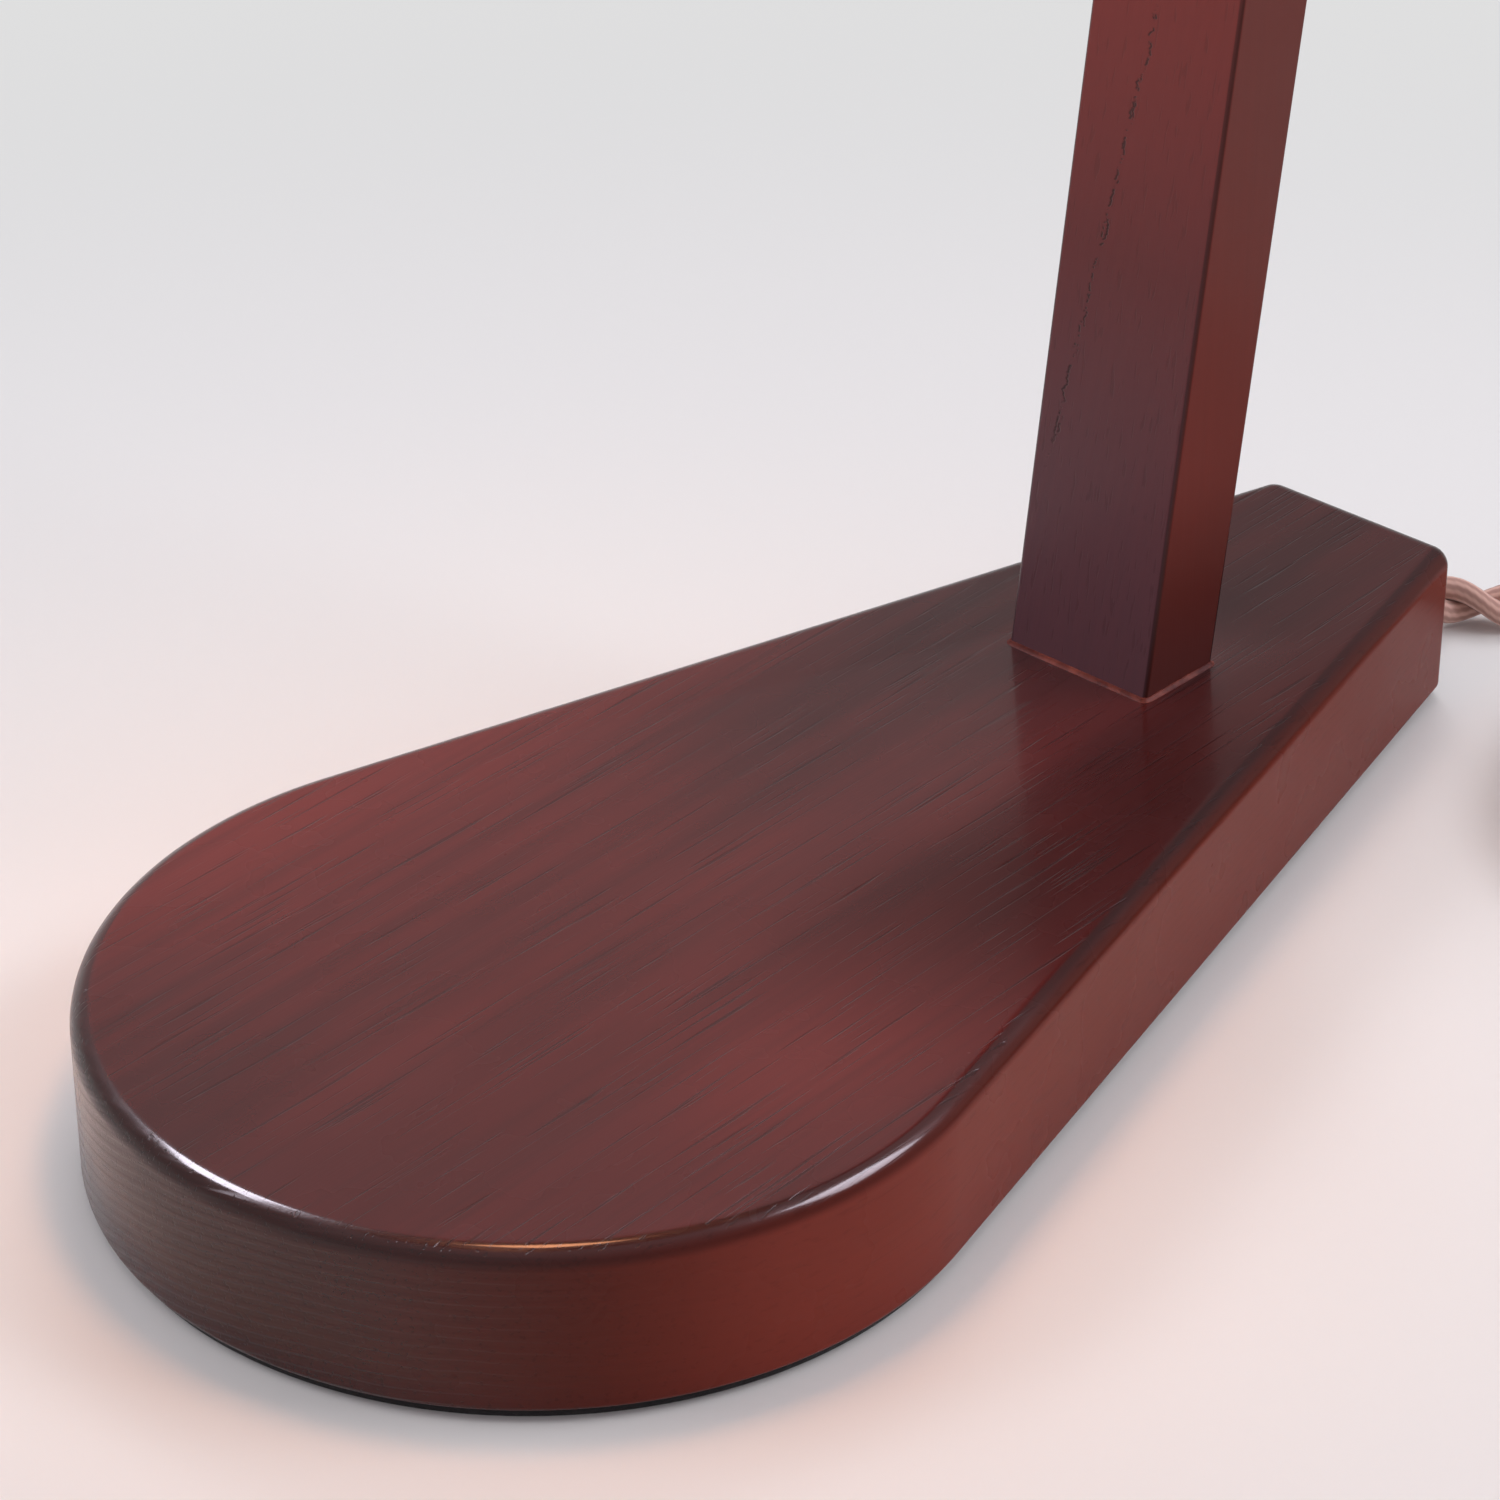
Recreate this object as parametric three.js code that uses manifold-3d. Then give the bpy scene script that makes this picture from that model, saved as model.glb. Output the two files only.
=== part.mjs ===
// Table lamp: a teardrop board carries a stem that leans back and an arm that reaches forward.
// A linen shade hangs plumb from a brass knuckle, over the round front of the board.
// Millimetres, +Z up. The origin is the centre of the board's round front, on the table.
import * as THREE from 'three';
import { mergeVertices } from 'three/addons/utils/BufferGeometryUtils.js';
import Module from 'manifold-3d';

const wasm = await Module();
wasm.setup();

// Clearances that serve everywhere
const seatGap = 0.3; // between pieces that are glued, screwed or laid together
const overrun = 2; // how far a cutter stands past the wood or metal that it cuts
const weldReach = 0.0005; // corners nearer than this are one corner

// Felt and board
const feltThickness = 1.2;
const feltInset = 1.4;
const frontRadius = 60;
const backReach = 174; // from the centre of the round front to the flat back
const backWidth = 33.4; // where the straight sides would meet the flat back
const backCornerRadius = 3.4;
const boardThickness = 23.5;
const topEdgeRadius = 3;
const bottomEdgeRadius = 1;
const edgeShare = 0.92; // of the corner radius that an edge may be rounded by

// Weight in the board
const weightRadius = 42;
const weightThickness = 10.4;
const weightScrewCircle = 28;
const weightScrewHeadRadius = 4.2;
const weightScrewShankRadius = 1.9;
const weightScrewLength = 17;

// Stem
const stemWidth = 25;
const stemDepth = 15;
const stemEdgeRadius = 0.8;
const stemLean = 7.9 * THREE.MathUtils.DEG2RAD;
const stemFootReach = 114.2; // from the origin to the stem's axis, on the board's top
const stemLength = 375; // along its axis, above the board
const tenonDepth = 14;
const tenonShoulderWidth = 2.3;
const stemScrewSpacing = 16.8;
const stemScrewHeadRadius = 4.4;
const stemScrewShankRadius = 2.1;
const stemScrewGripLength = 24; // of the shank that is in the stem

// Arm
const armThickness = 15;
const armEdgeRadius = 0.8;
const dowelRadius = 2.5;
const dowelDepth = 22; // of the dowel that is in the stem
const stripThickness = 3;

// Wires, from the back of the board to the knuckle
const strandRadius = 1.8;
const strandSpacing = 3.9;
const wireGap = 0.4; // round the pair of strands
const footBendRadius = 12;
const elbowBendRadius = 7;
const hangerBendRadius = 5;

// Cable bush and clamp
const bushHeight = 6.6; // of its axis above the table
const bushRadius = 5;
const bushLipRadius = 5.6;
const bushLipThickness = 1.2;
const bushTipRadius = 4.4;
const bushBoreRadius = 3.95;
const bushDepth = 16;
const bushTipLength = 4;
const clampReach = 24; // from the back face to the clamp's middle
const clampLength = 24;
const clampWidth = 8;
const clampThickness = 2;
const clampRidgeHeight = 0.9;
const clampScrewSpacing = 17;
const clampScrewHeadRadius = 2.6;
const clampScrewShankRadius = 1.3;
const clampScrewLength = 11;

// Hanger, from the arm to the pivot
const nippleRadius = 5;
const nippleBoreRadius = 4.15;
const nippleThreadTop = 6; // above the arm
const nippleSlotHeight = 10;
const capNutRadius = 8.5;
const capNutHeight = 9;
const capNutWall = 2.4;
const washerRadius = 11;
const washerThickness = 1.2;
const collarRadius = 12;
const collarNeckRadius = 8.2;
const collarHeight = 4;
const pivotDepth = 22; // from the stem's end plane to the tilt axis
const knuckleRadius = 8;
const knuckleEarThickness = 5.8;
const knuckleBodyRadius = 7.4;
const knuckleGap = 0.8; // between an ear's rim and the body that it turns past
const knuckleBodyHeight = 7.5;
const neckShare = 0.8; // of an ear's radius, half across its neck
const tiltScrewRadius = 2.2;
const tiltScrewHeadRadius = 4.4;
const tiltScrewHeadHeight = 2.6;
const thumbNutRadius = 7;
const thumbNutThickness = 5;
const thumbNutFluteDepth = 0.6;

// Lamp holder
const holderNippleRadius = 4.8;
const holderNippleLength = 6;
const holderCapRadius = 17;
const holderCapHeight = 18;
const holderCapTopRadius = 9;
const holderWall = 0.7;
const holderShellRadius = 16;
const holderLength = 54; // from the cap's top to the mouth
const shellOverlap = 5; // of the shell in the cap
const linerWall = 0.9;
const socketBaseThickness = 12;
const screwShellBore = 13.5;
const screwShellWall = 0.4;
const contactWidth = 5;
const contactThickness = 0.6;
const contactDepth = 2.2;
const skirtRadius = 19;
const skirtHeight = 11;
const skirtFlangeRadius = 21.5;
const skirtFlangeThickness = 2;
const ringNutRadius = 22.5;
const ringNutHeight = 4;

// Pull switch
const outletRadius = 3.6;
const outletBoreRadius = 2.3;
const outletDepth = 24; // of its axis below the cap's top
const outletReach = 36; // of the chain from the holder's axis
const outletBendRadius = 6;
const outletLength = 12; // from its axis down to the mouth
const switchBlockRadius = 11;
const switchBlockHeight = 7;
const beadRadius = 1.6;
const linkRadius = 0.6;
const beadPitch = 4;
const beadShare = 0.9; // of its radius, from a bead's middle to its link
const beadCount = 34;
const chainSinkDepth = 8; // of the chain in the outlet
const bellRadius = 4.2;
const bellHeight = 15;
const bellNeckRadius = 1.7;
const bellWaistShare = 0.55; // of its mouth's radius, half way down

// Bulb
const bulbRadius = 30;
const bulbLength = 85; // of its glass
const bulbNeckRadius = 13.2;
const bulbWall = 0.9;
const bulbCapRadius = 13.1;
const bulbCapLength = 21;
const bulbCapWall = 0.5;
const bulbTipRadius = 5;
const bulbTipHeight = 2.4;
const bulbFlankShare = 0.42; // of a right angle, from the widest ring to the flank
const bulbPullShare = 0.42; // of the flank's length, to each of its curve's handles

// Shade
const shadeTopRadius = 55;
const shadeBottomRadius = 95;
const shadeHeight = 125;
const shadeDepth = 57; // from the tilt axis to the shade's top
const shadeWall = 1;
const shadeWireRadius = 1.3;
const spiderHubRadius = 22.5;
const spiderHubThickness = 1.8;
const spiderArmRadius = 1.3;
const trimWidth = 8;
const trimThickness = 0.5;

// Cord, its coil and its tie
const cordLength = 1800; // from the bush to the plug
const cordRadius = 3.65;
const floorGap = 0.1; // under what lies on the table
const coilTurns = 6.25;
const climbTurns = 0.5; // in which the coil goes from its lower layer to its upper one
const finishTurns = 0.25; // in which its end comes down or up to the plug's height
const coilPitch = 8; // between neighbouring turns and between the two layers
const leadLength = 8; // of straight cord before the first turn
const coilLift = 0.9; // of the coil above the cord's own height, on its tie
const tieThickness = 0.6;
const tieWidth = 9;
const tieGap = 0.7;
const tieCornerRadius = 3;
const tieTurn = -215 * THREE.MathUtils.DEG2RAD; // round the coil, from where the cord comes in
const cordRoute = [
  [0, 178.3, 6.6],
  [0.61, 183.2, 6.3],
  [2.41, 187.6, 5.4],
  [4.95, 191.4, 4.4],
  [8.5, 194.7, 3.9],
  [14.23, 198.72, 3.75],
  [24.88, 206.18, 3.8],
  [35.52, 213.64, 4.2],
  [48.63, 222.82, 4.6],
  [56.45, 228.3, 4.65],
];

// Plug
const plugRadius = 13;
const plugLength = 31;
const plugThroatRadius = 5.2;
const plugFaceRadius = 11.6;
const tailLength = 33; // of straight cord between the coil and the plug
const bladeSpacing = 12.7;
const bladeWidth = 6.35;
const bladeThickness = 1.6;
const bladeLength = 17;
const bladeRootLength = 4; // of the blade inside the plug
// Along the body, and from its throat's radius to its own
const plugProfileShares = [[0.14, 0.06], [0.3, 0.34], [0.42, 0.72], [0.54, 0.94], [0.66, 1], [0.86, 1]];

// Numbers of facets
const frontSteps = 40;
const cornerSteps = 5;
const edgeSteps = 4;
const easedSteps = 2;
const roundSides = 24;
const smallSides = 14;
const wireSides = 8;
const shadeSides = 48;
const bulbSteps = 7;
const loopSteps = 24;
const loopSides = 6;
const cordSides = 10;
const runSteps = 30;
const thumbNutFlutes = 12;
const gapSamples = 12; // between two steps of the coil, when its own gap is measured

// Heights and lengths that follow
const boardBottom = feltThickness + seatGap;
const boardTop = boardBottom + boardThickness;
const halfWidth = stemWidth / 2;
const halfDepth = stemDepth / 2;
const grooveHalf = strandSpacing / 2 + strandRadius + wireGap;
const wireWayHeight = 2 * (strandRadius + wireGap);
const wireDepth = stripThickness + wireWayHeight / 2; // of the strands' axis under a grooved face
const armBottom = stemLength + seatGap;
const armTop = armBottom + armThickness;
const pivotAlongStem = stemLength - pivotDepth;
const armReach = (stemFootReach + Math.sin(stemLean) * pivotAlongStem) / Math.cos(stemLean);
const pivotHeight = boardTop + armReach * Math.sin(stemLean) + pivotAlongStem * Math.cos(stemLean);
const knuckleBodyStart = knuckleRadius + knuckleGap; // from the tilt axis
const knuckleEnd = knuckleBodyStart + knuckleBodyHeight;
const nippleBottom = pivotAlongStem + knuckleEnd - knuckleBodyHeight / 2;
const capTop = -knuckleEnd - seatGap; // in the head, whose origin is on the tilt axis
const mouth = capTop - holderLength;

// Finishes
const lacqueredWood = { color: 0x5a2d2a, roughness: 0.32, metalness: 0 };
const palePeg = { color: 0x6b3a30, roughness: 0.4, metalness: 0 };
const felt = { color: 0x1d1a1c, roughness: 0.95, metalness: 0 };
const castIron = { color: 0x3c3d40, roughness: 0.6, metalness: 0.8 };
const steel = { color: 0xb4b6ba, roughness: 0.35, metalness: 1 };
const agedBrass = { color: 0xb08a4a, roughness: 0.3, metalness: 1 };
const blackRubber = { color: 0x1b1a1a, roughness: 0.7, metalness: 0 };
const bakelite = { color: 0x2a1712, roughness: 0.25, metalness: 0 };
const porcelain = { color: 0xe9e4d8, roughness: 0.2, metalness: 0 };
const fibre = { color: 0x4a3c30, roughness: 0.9, metalness: 0 };
const linen = { color: 0xe6dcc6, roughness: 0.9, metalness: 0 };
const opalGlass = { color: 0xf6efe2, roughness: 0.25, metalness: 0 };
const darkWebbing = { color: 0x2a2627, roughness: 0.9, metalness: 0 };
const roseCotton = { color: 0xa57d73, roughness: 0.9, metalness: 0 };
const lampWire = { color: 0xc9b48c, roughness: 0.5, metalness: 0.9 };

// Solids

function weld(geometry) {
  const bare = new THREE.BufferGeometry();
  bare.setAttribute('position', geometry.getAttribute('position').clone());
  if (geometry.index) bare.setIndex(geometry.index.clone());
  const merged = mergeVertices(bare, weldReach);
  const places = merged.getAttribute('position');
  const corner = (i) => new THREE.Vector3().fromBufferAttribute(places, i);
  const triangles = [];
  let volume = 0;
  for (let i = 0; i < merged.index.count; i += 3) {
    const [a, b, c] = [0, 1, 2].map((k) => merged.index.getX(i + k));
    if (a === b || b === c || c === a) continue;
    triangles.push([a, b, c]);
    volume += corner(a).dot(corner(b).cross(corner(c)));
  }
  merged.setIndex(triangles.flatMap(([a, b, c]) => (volume > 0 ? [a, b, c] : [a, c, b])));
  return merged;
}

function solidOf(geometry) {
  const clean = weld(geometry);
  const vertProperties = new Float32Array(clean.getAttribute('position').array);
  const triVerts = Uint32Array.from(clean.index.array);
  return new wasm.Manifold(new wasm.Mesh({ numProp: 3, vertProperties, triVerts }));
}

function geometryOf(solid) {
  const mesh = solid.getMesh();
  const geometry = new THREE.BufferGeometry();
  geometry.setAttribute('position', new THREE.Float32BufferAttribute(mesh.vertProperties, 3));
  geometry.setIndex(Array.from(mesh.triVerts));
  return geometry;
}

function cut(body, ...tools) {
  return geometryOf(tools.reduce((left, tool) => left.subtract(solidOf(tool)), solidOf(body)));
}

function join(body, ...others) {
  return geometryOf(others.reduce((whole, other) => whole.add(solidOf(other)), solidOf(body)));
}

// A body turned about +Z from points of radius and height
function turned(profile, sides = roundSides) {
  const points = profile.map(([radius, height]) => new THREE.Vector2(radius, height));
  return new THREE.LatheGeometry(points, sides).rotateX(Math.PI / 2);
}

function rod(radius, low, high, sides = smallSides) {
  return turned([[0, low], [radius, low], [radius, high], [0, high]], sides);
}

function pipe(bore, radius, low, high, sides = roundSides) {
  return turned([[bore, low], [radius, low], [radius, high], [bore, high], [bore, low]], sides);
}

function block([left, right], [front, back], [low, high]) {
  const box = new THREE.BoxGeometry(right - left, back - front, high - low);
  return box.translate((left + right) / 2, (front + back) / 2, (low + high) / 2);
}

function both(half) {
  return [-half, half];
}

function polygon(radius, sides) {
  const turn = (2 * Math.PI) / sides;
  const corner = (k) => new THREE.Vector2(radius * Math.cos(k * turn), radius * Math.sin(k * turn));
  return Array.from({ length: sides }, (_, k) => corner(k));
}

function roundShape(radius, sides) {
  return new THREE.Shape(polygon(radius, sides));
}

function ringShape(bore, radius, sides) {
  const shape = roundShape(radius, sides);
  shape.holes.push(new THREE.Path(polygon(bore, sides)));
  return shape;
}

function roundedRectangle(width, height, radius, steps) {
  const corners = [[1, 1], [-1, 1], [-1, -1], [1, -1]];
  return corners.flatMap(([across, up], k) =>
    Array.from({ length: steps + 1 }, (_, i) => {
      const turn = (k + i / steps) * (Math.PI / 2);
      const x = across * (width / 2 - radius) + radius * Math.cos(turn);
      return new THREE.Vector2(x, up * (height / 2 - radius) + radius * Math.sin(turn));
    }));
}

// A curve whose stations are exactly the points that it is given
class StationCurve extends THREE.Curve {
  constructor(points) {
    super();
    this.points = points;
  }

  getPoint(share) {
    const place = share * (this.points.length - 1);
    const before = Math.min(Math.floor(place), this.points.length - 2);
    return this.points[before].clone().lerp(this.points[before + 1], place - before);
  }

  getPointAt(share) {
    return this.getPoint(share);
  }

  getTangentAt(share) {
    const last = this.points.length - 1;
    const here = Math.round(share * last);
    const [before, after] = [Math.max(here - 1, 0), Math.min(here + 1, last)];
    return this.points[after].clone().sub(this.points[before]).normalize();
  }
}

function sweep(shape, points) {
  const extrudePath = new StationCurve(points);
  return new THREE.ExtrudeGeometry(shape, { steps: points.length - 1, extrudePath, curveSegments: 1 });
}

// A polyline whose inner corners are rounded, as points
function roundedRoute(corners, radii, steps) {
  const route = [corners[0]];
  for (let i = 1; i < corners.length - 1; i += 1) {
    const back = corners[i - 1].clone().sub(corners[i]).normalize();
    const ahead = corners[i + 1].clone().sub(corners[i]).normalize();
    const half = back.angleTo(ahead) / 2;
    const middle = back.clone().add(ahead).normalize().multiplyScalar(radii[i - 1] / Math.sin(half));
    const centre = corners[i].clone().add(middle);
    const start = corners[i].clone().addScaledVector(back, radii[i - 1] / Math.tan(half)).sub(centre);
    const axis = ahead.clone().cross(back).normalize();
    for (let k = 0; k <= steps; k += 1) {
      const turn = -(k / steps) * (Math.PI - 2 * half);
      route.push(start.clone().applyAxisAngle(axis, -turn).add(centre));
    }
  }
  route.push(corners[corners.length - 1]);
  return route;
}

// A body between rings that have as many points each
function loft(rings) {
  const count = rings[0].length;
  const positions = rings.flat().flatMap((point) => [point.x, point.y, point.z]);
  const index = [];
  for (let r = 0; r < rings.length - 1; r += 1) {
    for (let i = 0; i < count; i += 1) {
      const [a, b] = [r * count + i, r * count + ((i + 1) % count)];
      index.push(a, b, b + count, a, b + count, a + count);
    }
  }
  const flat = rings[0].map((point) => new THREE.Vector2(point.x, point.y));
  const top = (rings.length - 1) * count;
  for (const [a, b, c] of THREE.ShapeUtils.triangulateShape(flat, [])) {
    index.push(a, c, b, top + a, top + b, top + c);
  }
  const geometry = new THREE.BufferGeometry();
  geometry.setAttribute('position', new THREE.Float32BufferAttribute(positions, 3));
  geometry.setIndex(index);
  return geometry;
}

// A screw that points up, with the flat of its sunk head at height zero
function sunkScrew(headRadius, shankRadius, length) {
  const tip = length - 2 * shankRadius;
  const taper = headRadius - shankRadius;
  return turned([[0, 0], [headRadius, 0], [shankRadius, taper], [shankRadius, tip], [0, length]], smallSides);
}

// The hole of that screw, with room round it
function sunkHole(headRadius, shankRadius, length) {
  const taper = headRadius - shankRadius;
  const [wide, narrow] = [headRadius + seatGap, shankRadius + seatGap];
  return turned([
    [0, -overrun], [wide, -overrun], [wide, seatGap], [narrow, taper + seatGap],
    [narrow, length + seatGap], [0, length + seatGap],
  ], smallSides);
}

// Scene

const lamp = new THREE.Group();
const leaning = new THREE.Group(); // the stem's own frame: its foot is at the origin, its axis is +Z
leaning.position.set(0, stemFootReach, boardTop);
leaning.rotation.x = -stemLean;
leaning.updateMatrix();
const head = new THREE.Group(); // all that tilts, with its origin on the tilt axis
head.position.set(0, 0, pivotHeight);
lamp.add(leaning, head);

function addPiece(group, name, geometry, finish) {
  const piece = new THREE.Mesh(weld(geometry), new THREE.MeshStandardMaterial(finish));
  piece.name = name;
  group.add(piece);
  return piece;
}

function leant(geometry) {
  return geometry.clone().applyMatrix4(leaning.matrix);
}

function leantPoint(x, y, z) {
  return new THREE.Vector3(x, y, z).applyMatrix4(leaning.matrix);
}

const sides = { left: -1, right: 1 };

// Wires

function wireRoute(x) {
  const alongStem = halfDepth - wireDepth;
  const alongArm = armBottom + wireDepth;
  const rise = (bushHeight - boardTop + alongStem * Math.sin(stemLean)) / Math.cos(stemLean);
  const start = new THREE.Vector3(x, backReach + bushTipLength - wireGap, bushHeight);
  const corners = [
    start,
    leantPoint(x, alongStem, rise),
    leantPoint(x, alongStem, alongArm),
    leantPoint(x, -armReach, alongArm),
    leantPoint(x, -armReach, nippleBottom),
  ];
  return roundedRoute(corners, [footBendRadius, elbowBendRadius, hangerBendRadius], edgeSteps);
}

// The way that the wood leaves for the pair of strands, in the row's frame
function wireWay() {
  const shape = new THREE.Shape(roundedRectangle(2 * grooveHalf, wireWayHeight, wireGap, 1));
  return sweep(shape, wireRoute(0));
}

function unlean(geometry) {
  return geometry.clone().applyMatrix4(leaning.matrix.clone().invert());
}

function addWires() {
  for (const [side, sign] of Object.entries(sides)) {
    const route = wireRoute((sign * strandSpacing) / 2);
    addPiece(lamp, `inner_strand_${side}`, sweep(roundShape(strandRadius, wireSides), route), roseCotton);
  }
}

// Board

function arcPoints({ x, y, radius, from, to, steps }, inset) {
  return Array.from({ length: steps + 1 }, (_, i) => {
    const turn = from + ((to - from) * i) / steps;
    return new THREE.Vector2(x + (radius - inset) * Math.cos(turn), y + (radius - inset) * Math.sin(turn));
  });
}

// The teardrop, drawn in from its edge: a round front, two straight sides and a flat back
function boardOutline(inset) {
  const far = Math.hypot(backReach, backWidth / 2);
  const sideTurn = Math.atan2(backReach, backWidth / 2) - Math.acos(frontRadius / far);
  const y = backReach - backCornerRadius;
  const x = (frontRadius - backCornerRadius - y * Math.sin(sideTurn)) / Math.cos(sideTurn);
  const corner = { y, radius: backCornerRadius, steps: cornerSteps };
  return [
    ...arcPoints({ ...corner, x, from: sideTurn, to: Math.PI / 2 }, inset),
    ...arcPoints({ ...corner, x: -x, from: Math.PI / 2, to: Math.PI - sideTurn }, inset),
    ...arcPoints({
      x: 0, y: 0, radius: frontRadius, from: Math.PI - sideTurn, to: 2 * Math.PI + sideTurn, steps: frontSteps,
    }, inset),
  ];
}

function boardBlank() {
  const topRound = Math.min(topEdgeRadius, edgeShare * backCornerRadius);
  const bottomRound = Math.min(bottomEdgeRadius, edgeShare * backCornerRadius);
  const quarter = (k, steps) => (k / steps) * (Math.PI / 2);
  const ring = (inset, z) => boardOutline(inset).map((point) => new THREE.Vector3(point.x, point.y, z));
  const rings = [];
  for (let k = 0; k <= easedSteps; k += 1) {
    const turn = quarter(k, easedSteps);
    rings.push(ring(bottomRound * (1 - Math.sin(turn)), boardBottom + bottomRound * (1 - Math.cos(turn))));
  }
  for (let k = 0; k <= edgeSteps; k += 1) {
    const turn = quarter(k, edgeSteps);
    rings.push(ring(topRound * (1 - Math.cos(turn)), boardTop - topRound * (1 - Math.sin(turn))));
  }
  return loft(rings);
}

function tenonBlock(room) {
  const [x, y] = [halfWidth - tenonShoulderWidth + room, halfDepth - tenonShoulderWidth + room];
  return block(both(x), both(y), [-tenonDepth - room, stemDepth]);
}

// Stem screws run along the stem's axis, from the underside of the board
function stemScrewStart() {
  return (boardBottom - boardTop) / Math.cos(stemLean) + stemScrewHeadRadius * Math.tan(stemLean);
}

function stemScrewLength() {
  return stemScrewGripLength - stemScrewStart();
}

function stemScrewPlaced(geometry, sign) {
  return geometry.translate((sign * stemScrewSpacing) / 2, 0, stemScrewStart());
}

function stemScrewHole(sign) {
  return stemScrewPlaced(sunkHole(stemScrewHeadRadius, stemScrewShankRadius, stemScrewLength()), sign);
}

function weightScrewPlaces() {
  return [1, 2, 3].map((number) => {
    const turn = (number * 2 * Math.PI) / 3 + Math.PI / 2;
    return { number, x: weightScrewCircle * Math.cos(turn), y: weightScrewCircle * Math.sin(turn) };
  });
}

function bushSeat() {
  const round = rod(bushRadius + seatGap, -overrun, bushDepth + seatGap, roundSides);
  round.rotateX(Math.PI / 2).translate(0, backReach, bushHeight);
  const open = block(both(bushRadius + seatGap), [backReach - bushDepth - seatGap, backReach + overrun],
    [0, bushHeight]);
  return join(round, open);
}

function cableChannel() {
  const end = leantPoint(0, halfDepth - wireDepth, 0).y;
  return block(both(grooveHalf), [end, backReach - bushDepth], [0, bushHeight + wireWayHeight / 2]);
}

function clampSeat() {
  const middle = backReach - clampReach;
  const [long, wide] = [clampLength / 2 + seatGap, clampWidth / 2 + seatGap];
  return block(both(long), [middle - wide, middle + wide], [0, boardBottom + clampThickness + seatGap]);
}

function clampScrewHole(sign) {
  const hole = rod(clampScrewShankRadius + seatGap, -overrun, clampScrewLength + seatGap);
  return hole.translate((sign * clampScrewSpacing) / 2, backReach - clampReach, boardBottom);
}

function addBoard() {
  const outline = new THREE.Shape(boardOutline(feltInset));
  addPiece(lamp, 'base_felt', new THREE.ExtrudeGeometry(outline, { depth: feltThickness, bevelEnabled: false }),
    felt);

  const pocket = rod(weightRadius + seatGap, 0, boardBottom + weightThickness + seatGap, frontSteps);
  const pilots = weightScrewPlaces().map(({ x, y }) =>
    rod(weightScrewShankRadius + seatGap, 0, boardBottom + weightScrewLength + seatGap).translate(x, y, 0));
  const board = cut(boardBlank(), pocket, ...pilots, bushSeat(), cableChannel(), wireWay(), clampSeat(),
    leant(tenonBlock(seatGap)), ...Object.values(sides).map((sign) => leant(stemScrewHole(sign))),
    ...Object.values(sides).map(clampScrewHole));
  addPiece(lamp, 'base_board', board, lacqueredWood);
}

function addWeight() {
  const disc = rod(weightRadius, boardBottom, boardBottom + weightThickness, frontSteps);
  const screw = () => sunkScrew(weightScrewHeadRadius, weightScrewShankRadius, weightScrewLength);
  const holes = weightScrewPlaces().map(({ x, y }) =>
    sunkHole(weightScrewHeadRadius, weightScrewShankRadius, weightScrewLength).translate(x, y, boardBottom));
  addPiece(lamp, 'base_weight', cut(disc, ...holes), castIron);
  for (const { number, x, y } of weightScrewPlaces()) {
    addPiece(lamp, `weight_screw_${number}`, screw().translate(x, y, boardBottom), steel);
  }
}

function addBushAndClamp() {
  const lipEnd = bushLipThickness + seatGap;
  const bush = turned([
    [bushBoreRadius, -bushDepth], [bushRadius, -bushDepth], [bushRadius, seatGap], [bushLipRadius, seatGap],
    [bushLipRadius, lipEnd], [bushRadius, lipEnd], [bushTipRadius, bushTipLength], [bushBoreRadius, bushTipLength],
    [bushBoreRadius, -bushDepth],
  ]);
  addPiece(lamp, 'cord_bush', bush.rotateX(-Math.PI / 2).translate(0, backReach, bushHeight), blackRubber);

  const middle = backReach - clampReach;
  const seat = boardBottom + clampThickness;
  const plate = block(both(clampLength / 2), [middle - clampWidth / 2, middle + clampWidth / 2],
    [boardBottom, seat]);
  const ridge = block(both(grooveHalf - wireGap), [middle - clampWidth / 4, middle + clampWidth / 4],
    [boardBottom + seatGap, seat + clampRidgeHeight]);
  const place = (geometry, sign) => geometry.translate((sign * clampScrewSpacing) / 2, middle, boardBottom);
  const holes = Object.values(sides).map((sign) =>
    place(sunkHole(clampScrewHeadRadius, clampScrewShankRadius, clampScrewLength), sign));
  addPiece(lamp, 'cord_clamp', cut(join(plate, ridge), ...holes), agedBrass);
  for (const [side, sign] of Object.entries(sides)) {
    const screw = sunkScrew(clampScrewHeadRadius, clampScrewShankRadius, clampScrewLength);
    addPiece(lamp, `clamp_screw_${side}`, place(screw, sign), steel);
  }
}

// Stem and arm

function stemBlank() {
  const section = new THREE.Shape(roundedRectangle(stemWidth, stemDepth, stemEdgeRadius, easedSteps));
  const shaft = new THREE.ExtrudeGeometry(section, { depth: stemLength + stemDepth, bevelEnabled: false });
  shaft.translate(0, 0, -stemDepth);
  const under = block(both(stemWidth), both(stemWidth), [-2 * stemWidth, seatGap]).rotateX(stemLean);
  return join(cut(shaft, under), tenonBlock(0));
}

function stripSeat() {
  return block(both(grooveHalf), [halfDepth - stripThickness - seatGap, halfDepth + overrun],
    [0, stemLength + overrun]);
}

function dowelPlaces() {
  return Object.entries(sides).map(([side, sign]) => ({ side, x: (sign * stemScrewSpacing) / 2 }));
}

function dowelHole(x) {
  return rod(dowelRadius + seatGap, stemLength - dowelDepth - seatGap, armTop + overrun).translate(x, 0, 0);
}

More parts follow.
